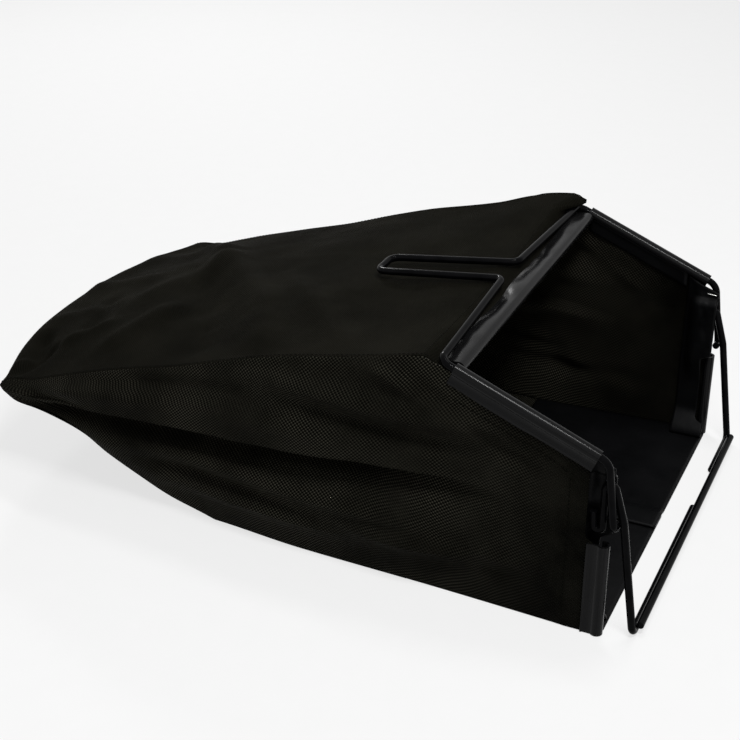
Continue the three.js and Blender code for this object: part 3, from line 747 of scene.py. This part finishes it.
def binding(start, side, away, length, seed, wander=0.25, filled=False):
    """Points, faces and UV of a length of binding that wanders a little, as soft vinyl does."""
    x, y = Vector(side), Vector(away)
    z = x.cross(y)
    section = np.array(binding_outline(filled))
    section = section[:, 0:1] * np.array(x) + section[:, 1:2] * np.array(y)
    stations = spaced((0, length, BINDING_STATION))
    centre = np.array(start) + stations[:, None] * np.array(z)
    calm = ease(0, BINDING_END_CALM, stations)
    calm = calm * fade(length - BINDING_END_CALM, length, stations)
    waves = ripples(centre, seed, BINDING_WAVES, wander) * calm
    rings = centre[:, None, :] + section[None, :, :]
    reach = np.linalg.norm(section, axis=1) / binding_outer
    flange_share = np.clip(reach - 1, 0, None)
    shift = waves[:, None] * (BEAD_WANDER + FLANGE_WANDER * flange_share)[None, :]
    rings = rings + shift[..., None] * np.array(x)
    lengthwise = np.repeat(stations, len(section))
    around = np.tile(arc_lengths(section[None], 1)[0], len(stations))
    faces = ring_faces(len(stations), len(section))
    return rings.reshape(-1, 3), faces, np.stack([lengthwise, around], -1)


def snapped_on(node, strip, material):
    piece = mesh_object(f"{node}_strip", *strip)
    sharp_ends(piece, SHARP_LIP)
    dress(piece, "binding_vinyl", material, node)


def make_bindings(material):
    front = RAIL_BINDING_FRONT_GAP
    rail_start = (front * rail_cosine, HOOK_HEIGHT + front * rail_sine)
    rail_run = rail_length - RAIL_BINDING_REAR_GAP - front
    for sign, side_name in SIDES:
        away = (0, -rail_sine, rail_cosine)
        start = (-half_frame, *rail_start)
        upper = binding(start, (-1, 0, 0), away, rail_run, 11 + sign)
        foot = (-half_frame, -LOWER_BINDING_FORWARD, TOUCH)
        height = LOWER_BINDING_HEIGHT - TOUCH
        lower = binding(foot, (-1, 0, 0), (0, -1, 0), height, 21 + sign, 0.5)
        for name, (points, faces, uv) in (("rail_binding", upper), ("lower_binding", lower)):
            placed = points * np.array((-sign, 1, 1))
            turned = faces if sign < 0 else [face[::-1] for face in faces]
            snapped_on(f"{side_name}_{name}", (placed, turned, uv), material)
    start = (-bar_binding_half, bar_binding_y, bar_binding_z)
    strip = binding(start, (0, 0, 1), (0, -1, 0), 2 * bar_binding_half, 31, 0.6, filled=True)
    snapped_on("bar_binding", strip, material)


# Cloth panels

def top_grid():
    """Outer face of the top cloth, from under the bar's binding to the tail."""
    front_edge = bar_binding_y + binding_bore
    under_binding = bar_binding_z + flange_inside - TOUCH
    crowded = np.sin(np.linspace(-math.pi / 2, math.pi / 2, TOP_ROWS))[:, None]
    share = lerp(np.linspace(-1, 1, TOP_ROWS)[:, None], crowded, TOP_CROWDING)
    bar_rear = RAIL_RUN + wire_radius
    y = spaced((front_edge, bar_rear, GRID_STEP), (bar_rear, BAG_LENGTH, GRID_STEP))[None, :]
    beside_seam = seam_half_width(y) - lerp(*SEAM_OVERLAP, ease(RAIL_RUN + 20, RAIL_RUN + 60, y))
    half = lerp(beside_hook, beside_seam, ease(RAIL_RUN + 8, RAIL_RUN + 20, y))
    x = share * half
    stretched = bulged(y, share)
    free = ease(RAIL_RUN + 2, behind_bar + TOP_RISE_RUN, y)
    rightward = right_rise(y) * ease(0.2, 1, share)
    risen = seam_height(y) + rightward + top_crown(y) * (1 - share * share)
    z = lerp(under_binding, risen, free)
    grid = puffed(as_grid(x, stretched, z), y)
    held = (1 - share ** 16) * ease(180, 250, y) * fade(BAG_LENGTH - 10, BAG_LENGTH, y)
    rise = folds(TOP_FOLDS, grid[..., 0], grid[..., 1]) + ripples(grid, *TOP_RIPPLES)
    grid = lifted(grid, rise * held)
    edge = stretched - RAIL_RUN - HEM_BEHIND_BAR
    hem = HEM_RISE * ease(0, 1.5, edge) * fade(TOP_HEM - 2, TOP_HEM, edge)
    grid = lifted(grid, hem)
    turned_down = grid[:, -1:] + np.array(TAIL_TURNED_DOWN)
    return nubbed(np.concatenate([grid, turned_down], axis=1))


def side_grid(rise, seed):
    """Outer face of the left side mesh, from its bottom edge up to its top edge."""
    front = binding_bore + MESH_BEHIND_BORE - LOWER_BINDING_FORWARD
    rows = spaced((2, 1.25, 0.03), (1.25, 0.85, 0.012), (0.85, 0, 0.025))[:, None]
    y = spaced((front, BAG_LENGTH, GRID_STEP))[None, :]
    lip = lip_height(y)
    on_bottom_panel = ease(FLOOR_DEPTH, FLOOR_DEPTH + 10, y)
    on_bottom_panel = on_bottom_panel * fade(BAG_LENGTH - 40, BAG_LENGTH, y)
    bottom = floor_height(y) + lerp(TOUCH, CLOTH + 0.1, on_bottom_panel)
    top = side_top(np.maximum(y, MESH_FRONT_EDGE), rise)
    z = np.where(rows < 1, lerp(top, lip, rows), lerp(lip, bottom, rows - 1))
    half = side_half_width(y, z, rise)
    below = np.maximum(lip - z, 0)
    tuck = side_tuck(y) / SIDE_TUCK * np.minimum(1, (lip - bottom) / SHORT_SIDE)
    z = z + TUCK_LIFT * tuck * hump(below, 2, TUCK_DOWN, TUCK_RETURN)
    above_binding = ease(LOWER_BINDING_HEIGHT - 4, LOWER_BINDING_HEIGHT + 6, z)
    placed = y + (MESH_FRONT_EDGE - front) * above_binding * fade(front, 60, y)
    grid = as_grid(-half, placed, z)
    held = ease(0, 16, top - z) * ease(0, 16, z - bottom)
    held = held * ease(38, 95, y) * fade(590, BAG_LENGTH, y)
    soft = folds(SIDE_FOLDS, placed, z) + ripples(grid, seed, *SIDE_RIPPLES)
    grid = lifted(grid, soft * held)
    grid = lifted(grid, side_hem(grid, top))
    free = ease(behind_bar + 10, behind_bar + 30, y)
    inward, down = SEAM_TURNED_IN
    turn = np.stack([inward * free, 0 * free, lerp(UNDER_RAIL_ALLOWANCE, down, free)], -1)
    grid = np.concatenate([grid, grid[-1:] + turn])
    if rise:
        grid = puffed(grid * MIRROR, y) * MIRROR
    return nubbed(grid)


def stitch_pull(aside, along):
    """How hard a seam draws the cloth in, stronger and weaker along it as it puckers."""
    pucker = 0.6 + 0.4 * np.sin(2 * math.pi * along / PUCKER)
    return np.exp(-((aside / STITCH_PULL) ** 2)) * pucker


def side_hem(grid, top):
    """Rise of the turned-in edges along the mouth, with the pull of their stitches."""
    y, z = grid[..., 1], grid[..., 2]
    under_top = (top - z) * rail_cosine
    beside_rail = fade(RAIL_RUN - 6, RAIL_RUN + 10, y)
    along_rail = fade(RAIL_HEM - 1, RAIL_HEM + 1, under_top) * beside_rail
    along_mouth = fade(MESH_FRONT_EDGE + HEM - 1, MESH_FRONT_EDGE + HEM + 1, y)
    pull = stitch_pull(under_top - RAIL_HEM + STITCH_INSET, y) * beside_rail
    upright = stitch_pull(y - MESH_FRONT_EDGE - HEM + STITCH_INSET, z)
    hems = np.maximum(along_rail, along_mouth)
    return HEM_RISE * (hems - 0.9 * np.maximum(pull, upright))


def bottom_grid():
    """Outer face of the bottom mesh, which faces down."""
    share = np.linspace(1, -1, BOTTOM_ROWS)[:, None]
    y = spaced((FLOOR_DEPTH + TOUCH, BAG_LENGTH, BOTTOM_STEP))[None, :]
    half = floor_half_width(y) - 0.1
    stretched = bulged(y, share)
    sag = np.minimum(rear_sag(y), floor_height(y)) * (1 - share * share)
    z = floor_height(y) - sag
    grid = as_grid(share * half, stretched, z)
    held = ease(TAIL_LIFT_START + 5, 450, y) * fade(BAG_LENGTH - 30, BAG_LENGTH, y)
    held = (1 - share ** 6) * held
    rise = ripples(grid, *BOTTOM_RIPPLES)
    return nubbed(lifted(grid, rise * held))


def grid_line(grid, places):
    """Points and normals on a grid at fractional (row, column) places."""
    normals = grid_normals(grid)
    rows, columns = np.asarray(places, float).T
    i = np.clip(rows.astype(int), 0, grid.shape[0] - 2)
    j = np.clip(columns.astype(int), 0, grid.shape[1] - 2)
    a, b = (rows - i)[:, None], (columns - j)[:, None]

    def blend(field):
        near = lerp(field[i, j], field[i, j + 1], b)
        return lerp(near, lerp(field[i + 1, j], field[i + 1, j + 1], b), a)

    return blend(grid), blend(normals)


def stitches(points, normals):
    """Short sunken lengths of thread along a line on the cloth."""
    steps = np.linalg.norm(np.diff(points, axis=0), axis=1)
    reach = np.concatenate([[0], np.cumsum(steps)])
    parts = []
    for start in np.arange(1, reach[-1] - STITCH_LENGTH, STITCH_PITCH):
        at = start + STITCH_LENGTH * np.array(STITCH_PLACES)
        place, up = (
            np.stack([np.interp(at, reach, field[:, k]) for k in range(3)], -1)
            for field in (points, normals)
        )
        thread = place + up * np.array(STITCH_HEIGHTS)[:, None]
        parts.append(rod_through(thread, STITCH_RADIUS, up[2]))
    return joined(parts)


def rod_through(points, radius, up, sides=6):
    """A thread through a few points, without rounding its corners."""
    ahead = unit(np.gradient(points, axis=0))
    side = unit(np.cross(ahead, up))
    lift = np.cross(side, ahead)
    angles = np.linspace(0, 2 * math.pi, sides, endpoint=False)
    ring = side[:, None] * np.cos(angles)[:, None] + lift[:, None] * np.sin(angles)[:, None]
    rings = points[:, None] + ring * radius
    return rings.reshape(-1, 3), ring_faces(len(points), sides)


def nearest(values, target):
    """Fractional index of a target in a rising or falling row of values."""
    values = np.asarray(values)
    order = 1 if values[-1] > values[0] else -1
    return np.interp(target * order, values * order, np.arange(len(values)))


def side_seams(grid):
    """Stitch lines of a side panel: below the rail, and down beside the mouth."""
    below = []
    for j in range(grid.shape[1]):
        y = grid[-1, j, 1]
        if MESH_FRONT_EDGE + HEM - STITCH_INSET < y < RAIL_RUN - 8:
            depth = (grid[-1, j, 2] - grid[:, j, 2]) * rail_cosine
            below.append((nearest(depth, RAIL_HEM - STITCH_INSET), j))
    beside = []
    for i in range(3, grid.shape[0] - 1):
        y = MESH_FRONT_EDGE + HEM - STITCH_INSET
        depth = (grid[-1, 12, 2] - grid[i, 12, 2]) * rail_cosine
        if depth > RAIL_HEM - STITCH_INSET:
            beside.append((i, nearest(grid[i, :, 1], y)))
    return [grid_line(grid, below), grid_line(grid, beside)]


def top_seams(grid):
    """Stitch lines of the top panel: behind the bar, and along both edges down to the tail."""
    rows, columns = grid.shape[:2]
    middle = grid[rows // 2, :, 1]
    hem = nearest(middle, RAIL_RUN + TOP_HEM - STITCH_INSET)
    across = [(i, hem) for i in range(2, rows - 2)]
    start = nearest(middle, RAIL_RUN + 14)
    edges = [[(edge, j) for j in range(int(start), columns - 1)] for edge in (1.5, rows - 2.5)]
    return [grid_line(grid, line) for line in (across, *edges)]


def sew(name, lines, material):
    points, faces = joined([stitches(*line) for line in lines])
    piece = mesh_object(name, points, faces)
    piece.data.materials.append(material)
    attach(piece, "root")


def make_cloth(weave, mesh_cloth, thread):
    top = top_grid()
    left = side_grid(0, LEFT_SEED)
    right = mirror_grid(side_grid(1, RIGHT_SEED))
    panels = (
        ("top_panel", "top_cloth", weave, top),
        ("left_side_panel", "mesh_cloth", mesh_cloth, left),
        ("right_side_panel", "mesh_cloth", mesh_cloth, right),
        ("bottom_panel", "mesh_cloth", mesh_cloth, bottom_grid()),
    )
    for node, slot, material, grid in panels:
        piece = dress(shell(f"{node}_cloth", grid, CLOTH), slot, material, node)
    sew("top_stitches", top_seams(top), thread)
    sew("left_side_stitches", side_seams(left), thread)
    seams = side_seams(mirror_grid(right))
    turned = [(points * MIRROR, normals * MIRROR) for points, normals in seams]
    sew("right_side_stitches", turned, thread)


# Vinyl

def lining_half_width(y, z):
    raised = ease(LOWER_BINDING_HEIGHT - 2.5 * LINING_STEP_IN, LOWER_BINDING_HEIGHT + 2, z)
    forward = fade(MESH_FRONT_EDGE, FRONT_LINING_REAR - 2, y)
    over_leg = LEG_TOP_HEIGHT + wire_radius + LINING_ABOVE_LEG
    at_front = lerp(beside_curl, beside_hook, ease(over_leg, over_leg + LINING_FLARE, z))
    return lerp(lining_face, at_front, raised * forward)


def front_lining_grid():
    low_front = binding_outer - LOWER_BINDING_FORWARD + TOUCH
    low = FLOOR_SHEET + TOUCH
    rows, columns = FRONT_LINING_GRID
    up = np.linspace(0, 1, rows)[:, None]
    back = np.linspace(0, 1, columns)[None, :]
    guess = lerp(low, HOOK_HEIGHT, up)
    rise = ease(LOWER_BINDING_HEIGHT, LOWER_BINDING_HEIGHT + LINING_STEP_BACK, guess)
    inward = LINING_FOOT * fade(low, LINING_FOOT_HEIGHT, guess)
    rise = np.maximum(rise, ease(5, 10, inward))
    y = lerp(lerp(low_front, -FRONT_LINING_FORWARD, rise), FRONT_LINING_REAR, back)
    z = lerp(low, rail_height(y) - under_rail - 1, up)
    return as_grid(inward - lining_half_width(y, z), y, z)


def rail_lining_grid():
    down = np.linspace(1, 0, RAIL_LINING_ROWS)[:, None]
    y = spaced((FRONT_LINING_REAR + 2, RAIL_RUN - RAIL_BINDING_REAR_GAP, VINYL_STEP))[None, :]
    z = rail_height(y) - under_rail - down * RAIL_LINING_WIDTH
    return as_grid(-lining_face + 0.5 * np.sin(y / 9) * down, y, z)


def floor_edge(y):
    notch_y = binding_outer - LOWER_BINDING_FORWARD + TOUCH
    beside_panel = floor_half_width(y) - CLOTH - TOUCH
    notch_x = half_frame - binding_outer - TOUCH
    return np.where(y < notch_y, notch_x, beside_panel)


def floor_grids():
    """Upper faces of the two floor sheets, of which the right one laps over the left one."""
    y = spaced((-FLOOR_FRONT, FLOOR_DEPTH, VINYL_STEP))[None, :]
    share = np.linspace(0, 1, FLOOR_ROWS)[:, None]
    lap_start, lap_end = FLOOR_LAP_OFFSET - FLOOR_LAP / 2, FLOOR_LAP_OFFSET + FLOOR_LAP / 2
    left = lerp(-floor_edge(y), lap_end, share)
    right = lerp(lap_start, floor_edge(y), share)
    step = lap_end + 2 * TOUCH
    raised = (FLOOR_SHEET + TOUCH) * fade(step, step + FLOOR_STEP_RUN, right)
    return as_grid(left, y, FLOOR_SHEET), as_grid(right, y, FLOOR_SHEET + raised)


def make_vinyl(material):
    for name, grid in zip(("left_floor", "right_floor"), floor_grids()):
        piece = shell(f"{name}_vinyl", grid, FLOOR_SHEET)
        dress(piece, "floor_vinyl", material, f"{name}_sheet")
    lining = front_lining_grid()
    crumple = ripples(lining, *LINING_CRUMPLE)
    visible = ease(LOWER_BINDING_HEIGHT - 2, LOWER_BINDING_HEIGHT + 12, lining[..., 2])
    held = visible * fade(16, 26, lining[..., 1])
    lining = lifted(lining, -np.abs(crumple) * held)
    strip = rail_lining_grid()
    mirrored = (mirror_grid(lining), mirror_grid(strip))
    for side_name, grids in (("left", (lining, strip)), ("right", mirrored)):
        for name, grid in zip(("front_lining", "rail_lining"), grids):
            piece = shell(f"{side_name}_{name}_vinyl", grid, LINING)
            dress(piece, "floor_vinyl", material, f"{side_name}_{name}")


# Staples in the upper front corners

def make_staples(material):
    front, rear = STAPLE_MIDDLE - STAPLE_REACH / 2, STAPLE_MIDDLE + STAPLE_REACH / 2
    z = HOOK_HEIGHT - STAPLE_BELOW_HOOK
    for sign, side_name in SIDES:
        x = sign * (beside_hook - LINING - 2 * TOUCH - STAPLE_RADIUS)
        legs = x + sign * STAPLE_LEG
        corners = [
            ((legs, front, z), 0),
            ((x, front, z), STAPLE_RADIUS),
            ((x, rear, z + STAPLE_TILT), STAPLE_RADIUS),
            ((legs, rear, z + STAPLE_TILT), 0),
        ]
        points, faces = rod(corners, STAPLE_RADIUS, STAPLE_CHAMFER, STAPLE_SIDES)
        piece = mesh_object(f"{side_name}_staple_wire", points, faces)
        dress(piece, "staple_steel", material, f"{side_name}_corner_staple")


# Materials

class Nodes:
    """Short calls to add nodes to the tree of a material or a world."""

    def __init__(self, owner):
        owner.use_nodes = True
        self.tree = owner.node_tree

    def node(self, kind, **inputs):
        made = self.tree.nodes.new(f"ShaderNode{kind}")
        for socket, value in inputs.items():
            self.feed(made.inputs[socket.replace("_", " ")], value)
        return made

    def feed(self, socket, value):
        if isinstance(value, bpy.types.NodeSocket):
            self.tree.links.new(value, socket)
        else:
            socket.default_value = value

    def math(self, operation, a, b=0.0):
        made = self.node("Math")
        made.operation = operation
        self.feed(made.inputs[0], a)
        self.feed(made.inputs[1], b)
        return made.outputs[0]

    def place(self, source):
        return self.node("TexCoord").outputs[source]

    def noise(self, vector, scale, detail=3.0, roughness=0.5):
        made = self.node("TexNoise", Vector=vector, Scale=scale, Detail=detail, Roughness=roughness)
        return made.outputs["Fac"]

    def stretched(self, vector, scale):
        return self.node("Mapping", Vector=vector, Scale=scale).outputs[0]

    def span(self, factor, low, high, start=0.0, end=1.0):
        """The factor's range from low to high, laid over the range from start to end."""
        ranges = {"From_Min": low, "From_Max": high, "To_Min": start, "To_Max": end}
        return self.node("MapRange", Value=factor, **ranges).outputs[0]

    def ramp(self, factor, low, high, dark, light):
        made = self.node("Mix")
        made.data_type = "RGBA"
        self.feed(made.inputs["Factor"], self.span(factor, low, high))
        made.inputs[6].default_value = (*dark, 1)
        made.inputs[7].default_value = (*light, 1)
        return made.outputs[2]

    def bump(self, height, distance, strength=1.0, under=None):
        made = self.node("Bump", Height=height, Distance=distance, Strength=strength)
        if under is not None:
            self.feed(made.inputs["Normal"], under)
        return made.outputs[0]

    def seen_directly(self):
        """1 for rays from the camera, also by way of a mirror or glass, and 0 for all others."""
        path = self.node("LightPath")
        seen = path.outputs["Is Camera Ray"]
        for kind in ("Glossy", "Transmission"):
            seen = self.math("MAXIMUM", seen, path.outputs[f"Is {kind} Ray"])
        return seen

    def mixed_to(self, output, share, one, other):
        """Sends a mix of two shaders to the tree's output."""
        made = self.node("MixShader")
        for socket, value in zip(made.inputs, (share, one.outputs[0], other.outputs[0])):
            self.feed(socket, value)
        self.feed(self.tree.nodes[output].inputs["Surface"], made.outputs[0])


class Shader(Nodes):
    """A material with a Principled shader."""

    def __init__(self, name, **values):
        self.material = bpy.data.materials.new(name)
        super().__init__(self.material)
        self.shader = self.tree.nodes["Principled BSDF"]
        for socket, value in values.items():
            self.shader.inputs[socket.replace("_", " ")].default_value = value

    def set(self, socket, value):
        self.feed(self.shader.inputs[socket], value)

    def colour(self, factor, low, high, dark, light):
        self.set("Base Color", self.ramp(factor, low, high, dark, light))

    def rough(self, factor, low, high, start, end):
        self.set("Roughness", self.span(factor, low, high, start, end))


def painted_steel():
    m = Shader("gloss_black_paint", Specular_IOR_Level=0.028)
    where = m.place("Object")
    patches = m.noise(where, 60, 4)
    m.colour(patches, 0.35, 0.7, (0.0015, 0.0015, 0.0018), (0.004, 0.004, 0.0045))
    m.rough(m.noise(where, 90, 4), 0.3, 0.7, 0.08, 0.14)
    peel = m.noise(where, 500, 2)
    m.set("Normal", m.bump(peel, 0.00004, 0.3))
    return m.material


def binding_vinyl():
    m = Shader("extruded_vinyl", Specular_IOR_Level=0.08)
    where = m.place("UV")
    streaks = m.noise(m.stretched(where, (8, 900, 1)), 1.0, 4)
    scuffs = m.noise(m.place("Object"), 45, 5, 0.65)
    m.colour(streaks, 0.3, 0.75, (0.0018, 0.0018, 0.0019), (0.0105, 0.0105, 0.011))
    m.rough(scuffs, 0.3, 0.7, 0.14, 0.26)
    m.set("Normal", m.bump(streaks, 0.00005, 0.3, m.bump(scuffs, 0.0002, 0.2)))
    return m.material


def floor_vinyl():
    m = Shader("satin_vinyl_sheet", Specular_IOR_Level=0.05)
    where = m.place("Object")
    grain = m.node("TexVoronoi", Vector=where, Scale=700)
    clouds = m.noise(where, 9, 5, 0.6)
    m.colour(clouds, 0.3, 0.7, (0.0015, 0.0016, 0.0018), (0.004, 0.0041, 0.0045))
    m.rough(m.noise(where, 30, 5), 0.3, 0.7, 0.34, 0.52)
    dents = m.bump(clouds, 0.006, 0.3)
    m.set("Normal", m.bump(grain.outputs["Distance"], 0.0001, 0.25, dents))
    return m.material


def woven_cloth():
    """Dense plain weave: threads over and under each other, pitch given in metres."""
    pitch = 0.0024
    m = Shader(
        "dense_black_weave",
        Specular_IOR_Level=0.002,
        Roughness=0.6,
        Sheen_Weight=0.006,
        Sheen_Roughness=0.4,
        Sheen_Tint=(1.0, 0.94, 0.78, 1),
    )
    parts = m.node("SeparateXYZ", Vector=m.place("UV"))
    turn = 2 * math.pi / pitch
    warp = m.math("SINE", m.math("MULTIPLY", parts.outputs[0], turn))
    weft = m.math("SINE", m.math("MULTIPLY", parts.outputs[1], turn))
    check = m.math("MULTIPLY", warp, weft)
    slub = m.noise(m.place("UV"), 420, 3)
    height = m.math("ADD", check, m.math("MULTIPLY", slub, 1.2))
    worn = m.span(m.noise(m.place("Object"), 11, 5, 0.6), 0, 1, 0.1, 0.9)
    cloudy = m.math("ADD", m.math("MULTIPLY", check, 0.2), worn)
    m.colour(cloudy, 0.3, 0.75, (0.0026, 0.0025, 0.0018), (0.0105, 0.0099, 0.0074))
    m.set("Normal", m.bump(height, 0.0003, 0.8))
    return m.material


def net_cloth():
    """Open mesh: rows of knots set off by half a pitch, with dark gaps between them. The knots
    carry painted glints in patches, and the cloth is painted darker near the mouth as shade.
    """
    pitch_along, pitch_across = 0.0038, 0.0034
    m = Shader(
        "open_black_mesh",
        Specular_IOR_Level=0.01,
        Sheen_Weight=0.004,
        Sheen_Roughness=0.4,
        Sheen_Tint=(1.0, 0.95, 0.8, 1),
    )
    parts = m.node("SeparateXYZ", Vector=m.place("UV"))
    along = m.math("MULTIPLY", parts.outputs[0], 2 * math.pi / pitch_along)
    across = m.math("MULTIPLY", parts.outputs[1], 2 * math.pi / pitch_across)
    knots = m.math("MULTIPLY", m.math("COSINE", along), m.math("COSINE", across))
    fibre = m.noise(m.place("UV"), 900, 3)
    height = m.math("ADD", knots, m.math("MULTIPLY", fibre, 0.5))
    worn = m.span(m.noise(m.place("Object"), 9, 5, 0.6), 0, 1, 0.25, 0.68)
    # patches: where the knots carry painted glints, which stand in for the shine of the threads
    patches = m.span(m.noise(m.place("Object"), 14, 3), 0.38, 0.62, 0.1, 0.75)
    # 0 at the mouth, 1 further back: near the mouth the cloth is painted darker as shade, and its
    #                                 knots get no painted glints
    past_painted_mouth_shade = m.span(parts.outputs[0], 0.04, 0.2, 0, 1)
    tone = m.math("ADD", m.math("MULTIPLY", m.math("MULTIPLY", knots, patches), past_painted_mouth_shade), worn)
    tone = m.math("ADD", tone, m.math("MULTIPLY", past_painted_mouth_shade, 0.06))
    # The light colour is painted glint on the knots; the dark colour is the thread's own black
    m.colour(tone, 0.42, 1.0, (0.002, 0.0019, 0.0013), (0.052, 0.0495, 0.0375))
    m.rough(knots, -1, 1, 0.8, 0.3)
    m.set("Normal", m.bump(height, 0.0009, 0.9))
    return m.material


def sewing_thread():
    m = Shader("black_thread", Specular_IOR_Level=0.01, Roughness=0.5)
    twist = m.noise(m.place("Object"), 1500, 2)
    m.colour(twist, 0.3, 0.7, (0.001, 0.001, 0.0008), (0.006, 0.006, 0.0045))
    m.set("Normal", m.bump(twist, 0.0001, 0.5))
    return m.material


def staple_steel():
    m = Shader("bright_wire", Metallic=1.0)
    where = m.place("Object")
    shade = m.noise(where, 300, 3)
    m.colour(shade, 0.3, 0.7, (0.45, 0.45, 0.43), (0.75, 0.75, 0.73))
    m.rough(m.noise(where, 800, 3), 0.3, 0.7, 0.2, 0.4)
    return m.material


# Floor, light and camera

def make_stage():
    corners = ((-1, -1, 0), (1, -1, 0), (1, 1, 0), (-1, 1, 0))
    floor = mesh_object("studio_floor", STAGE_REACH * np.array(corners, float), [[0, 1, 2, 3]])
    floor.location.z = STAGE_BELOW
    m = Shader("white_paper", Roughness=0.9, Specular_IOR_Level=0.1)
    speckle = m.noise(m.place("Object"), 40, 3)
    m.colour(speckle, 0.2, 0.8, (0.86, 0.86, 0.86), (0.9, 0.9, 0.9))
    glow = m.node("Emission", Color=WHITE, Strength=1.0)
    share = m.math("MULTIPLY", m.seen_directly(), STAGE_GLOW)
    m.mixed_to("Material Output", share, m.shader, glow)
    floor.data.materials.append(m.material)


def make_world():
    world = bpy.data.worlds.new("studio")
    bpy.context.scene.world = world
    m = Nodes(world)
    fill = m.tree.nodes["Background"]
    fill.inputs["Color"].default_value = WHITE
    fill.inputs["Strength"].default_value = WORLD_FILL
    backdrop = m.node("Background", Color=WHITE, Strength=1.0)
    m.mixed_to("World Output", m.seen_directly(), fill, backdrop)


def make_lamp(name, place, target, size, power):
    lamp = bpy.data.lights.new(name, "AREA")
    lamp.shape = "RECTANGLE"
    lamp.size, lamp.size_y = size
    lamp.energy = power
    holder = linked(name, lamp)
    holder.location = place
    holder.rotation_euler = (Vector(target) - Vector(place)).to_track_quat("-Z", "Y").to_euler()


def make_lights():
    middle = (0, 0, 0.1)
    make_lamp("left_key", (-0.6, -0.62, 1.45), middle, (0.5, 0.035), 13)
    make_lamp("overhead", (0.3, -0.2, 1.7), middle, (0.5, 0.1), 7)
    make_lamp("right_rear", (1.6, 1.2, 1.3), middle, (0.3, 0.3), 14)


def make_camera():
    data = bpy.data.cameras.new("photo_camera")
    data.sensor_width = SENSOR
    data.lens = FOCAL_PIXELS / PHOTO_PIXELS * SENSOR
    camera = linked("photo_camera", data)
    camera.location = to_row(CAMERA_AT)
    camera.rotation_euler = (math.radians(90 - VIEW_ELEVATION), 0, math.radians(VIEW_AZIMUTH))
    bpy.context.scene.camera = camera


bpy.context.scene.view_settings.view_transform = "Standard"
make_camera()
make_stage()
make_world()
make_lights()
make_wires(painted_steel())
make_bindings(binding_vinyl())
make_cloth(woven_cloth(), net_cloth(), sewing_thread())
make_vinyl(floor_vinyl())
make_staples(staple_steel())
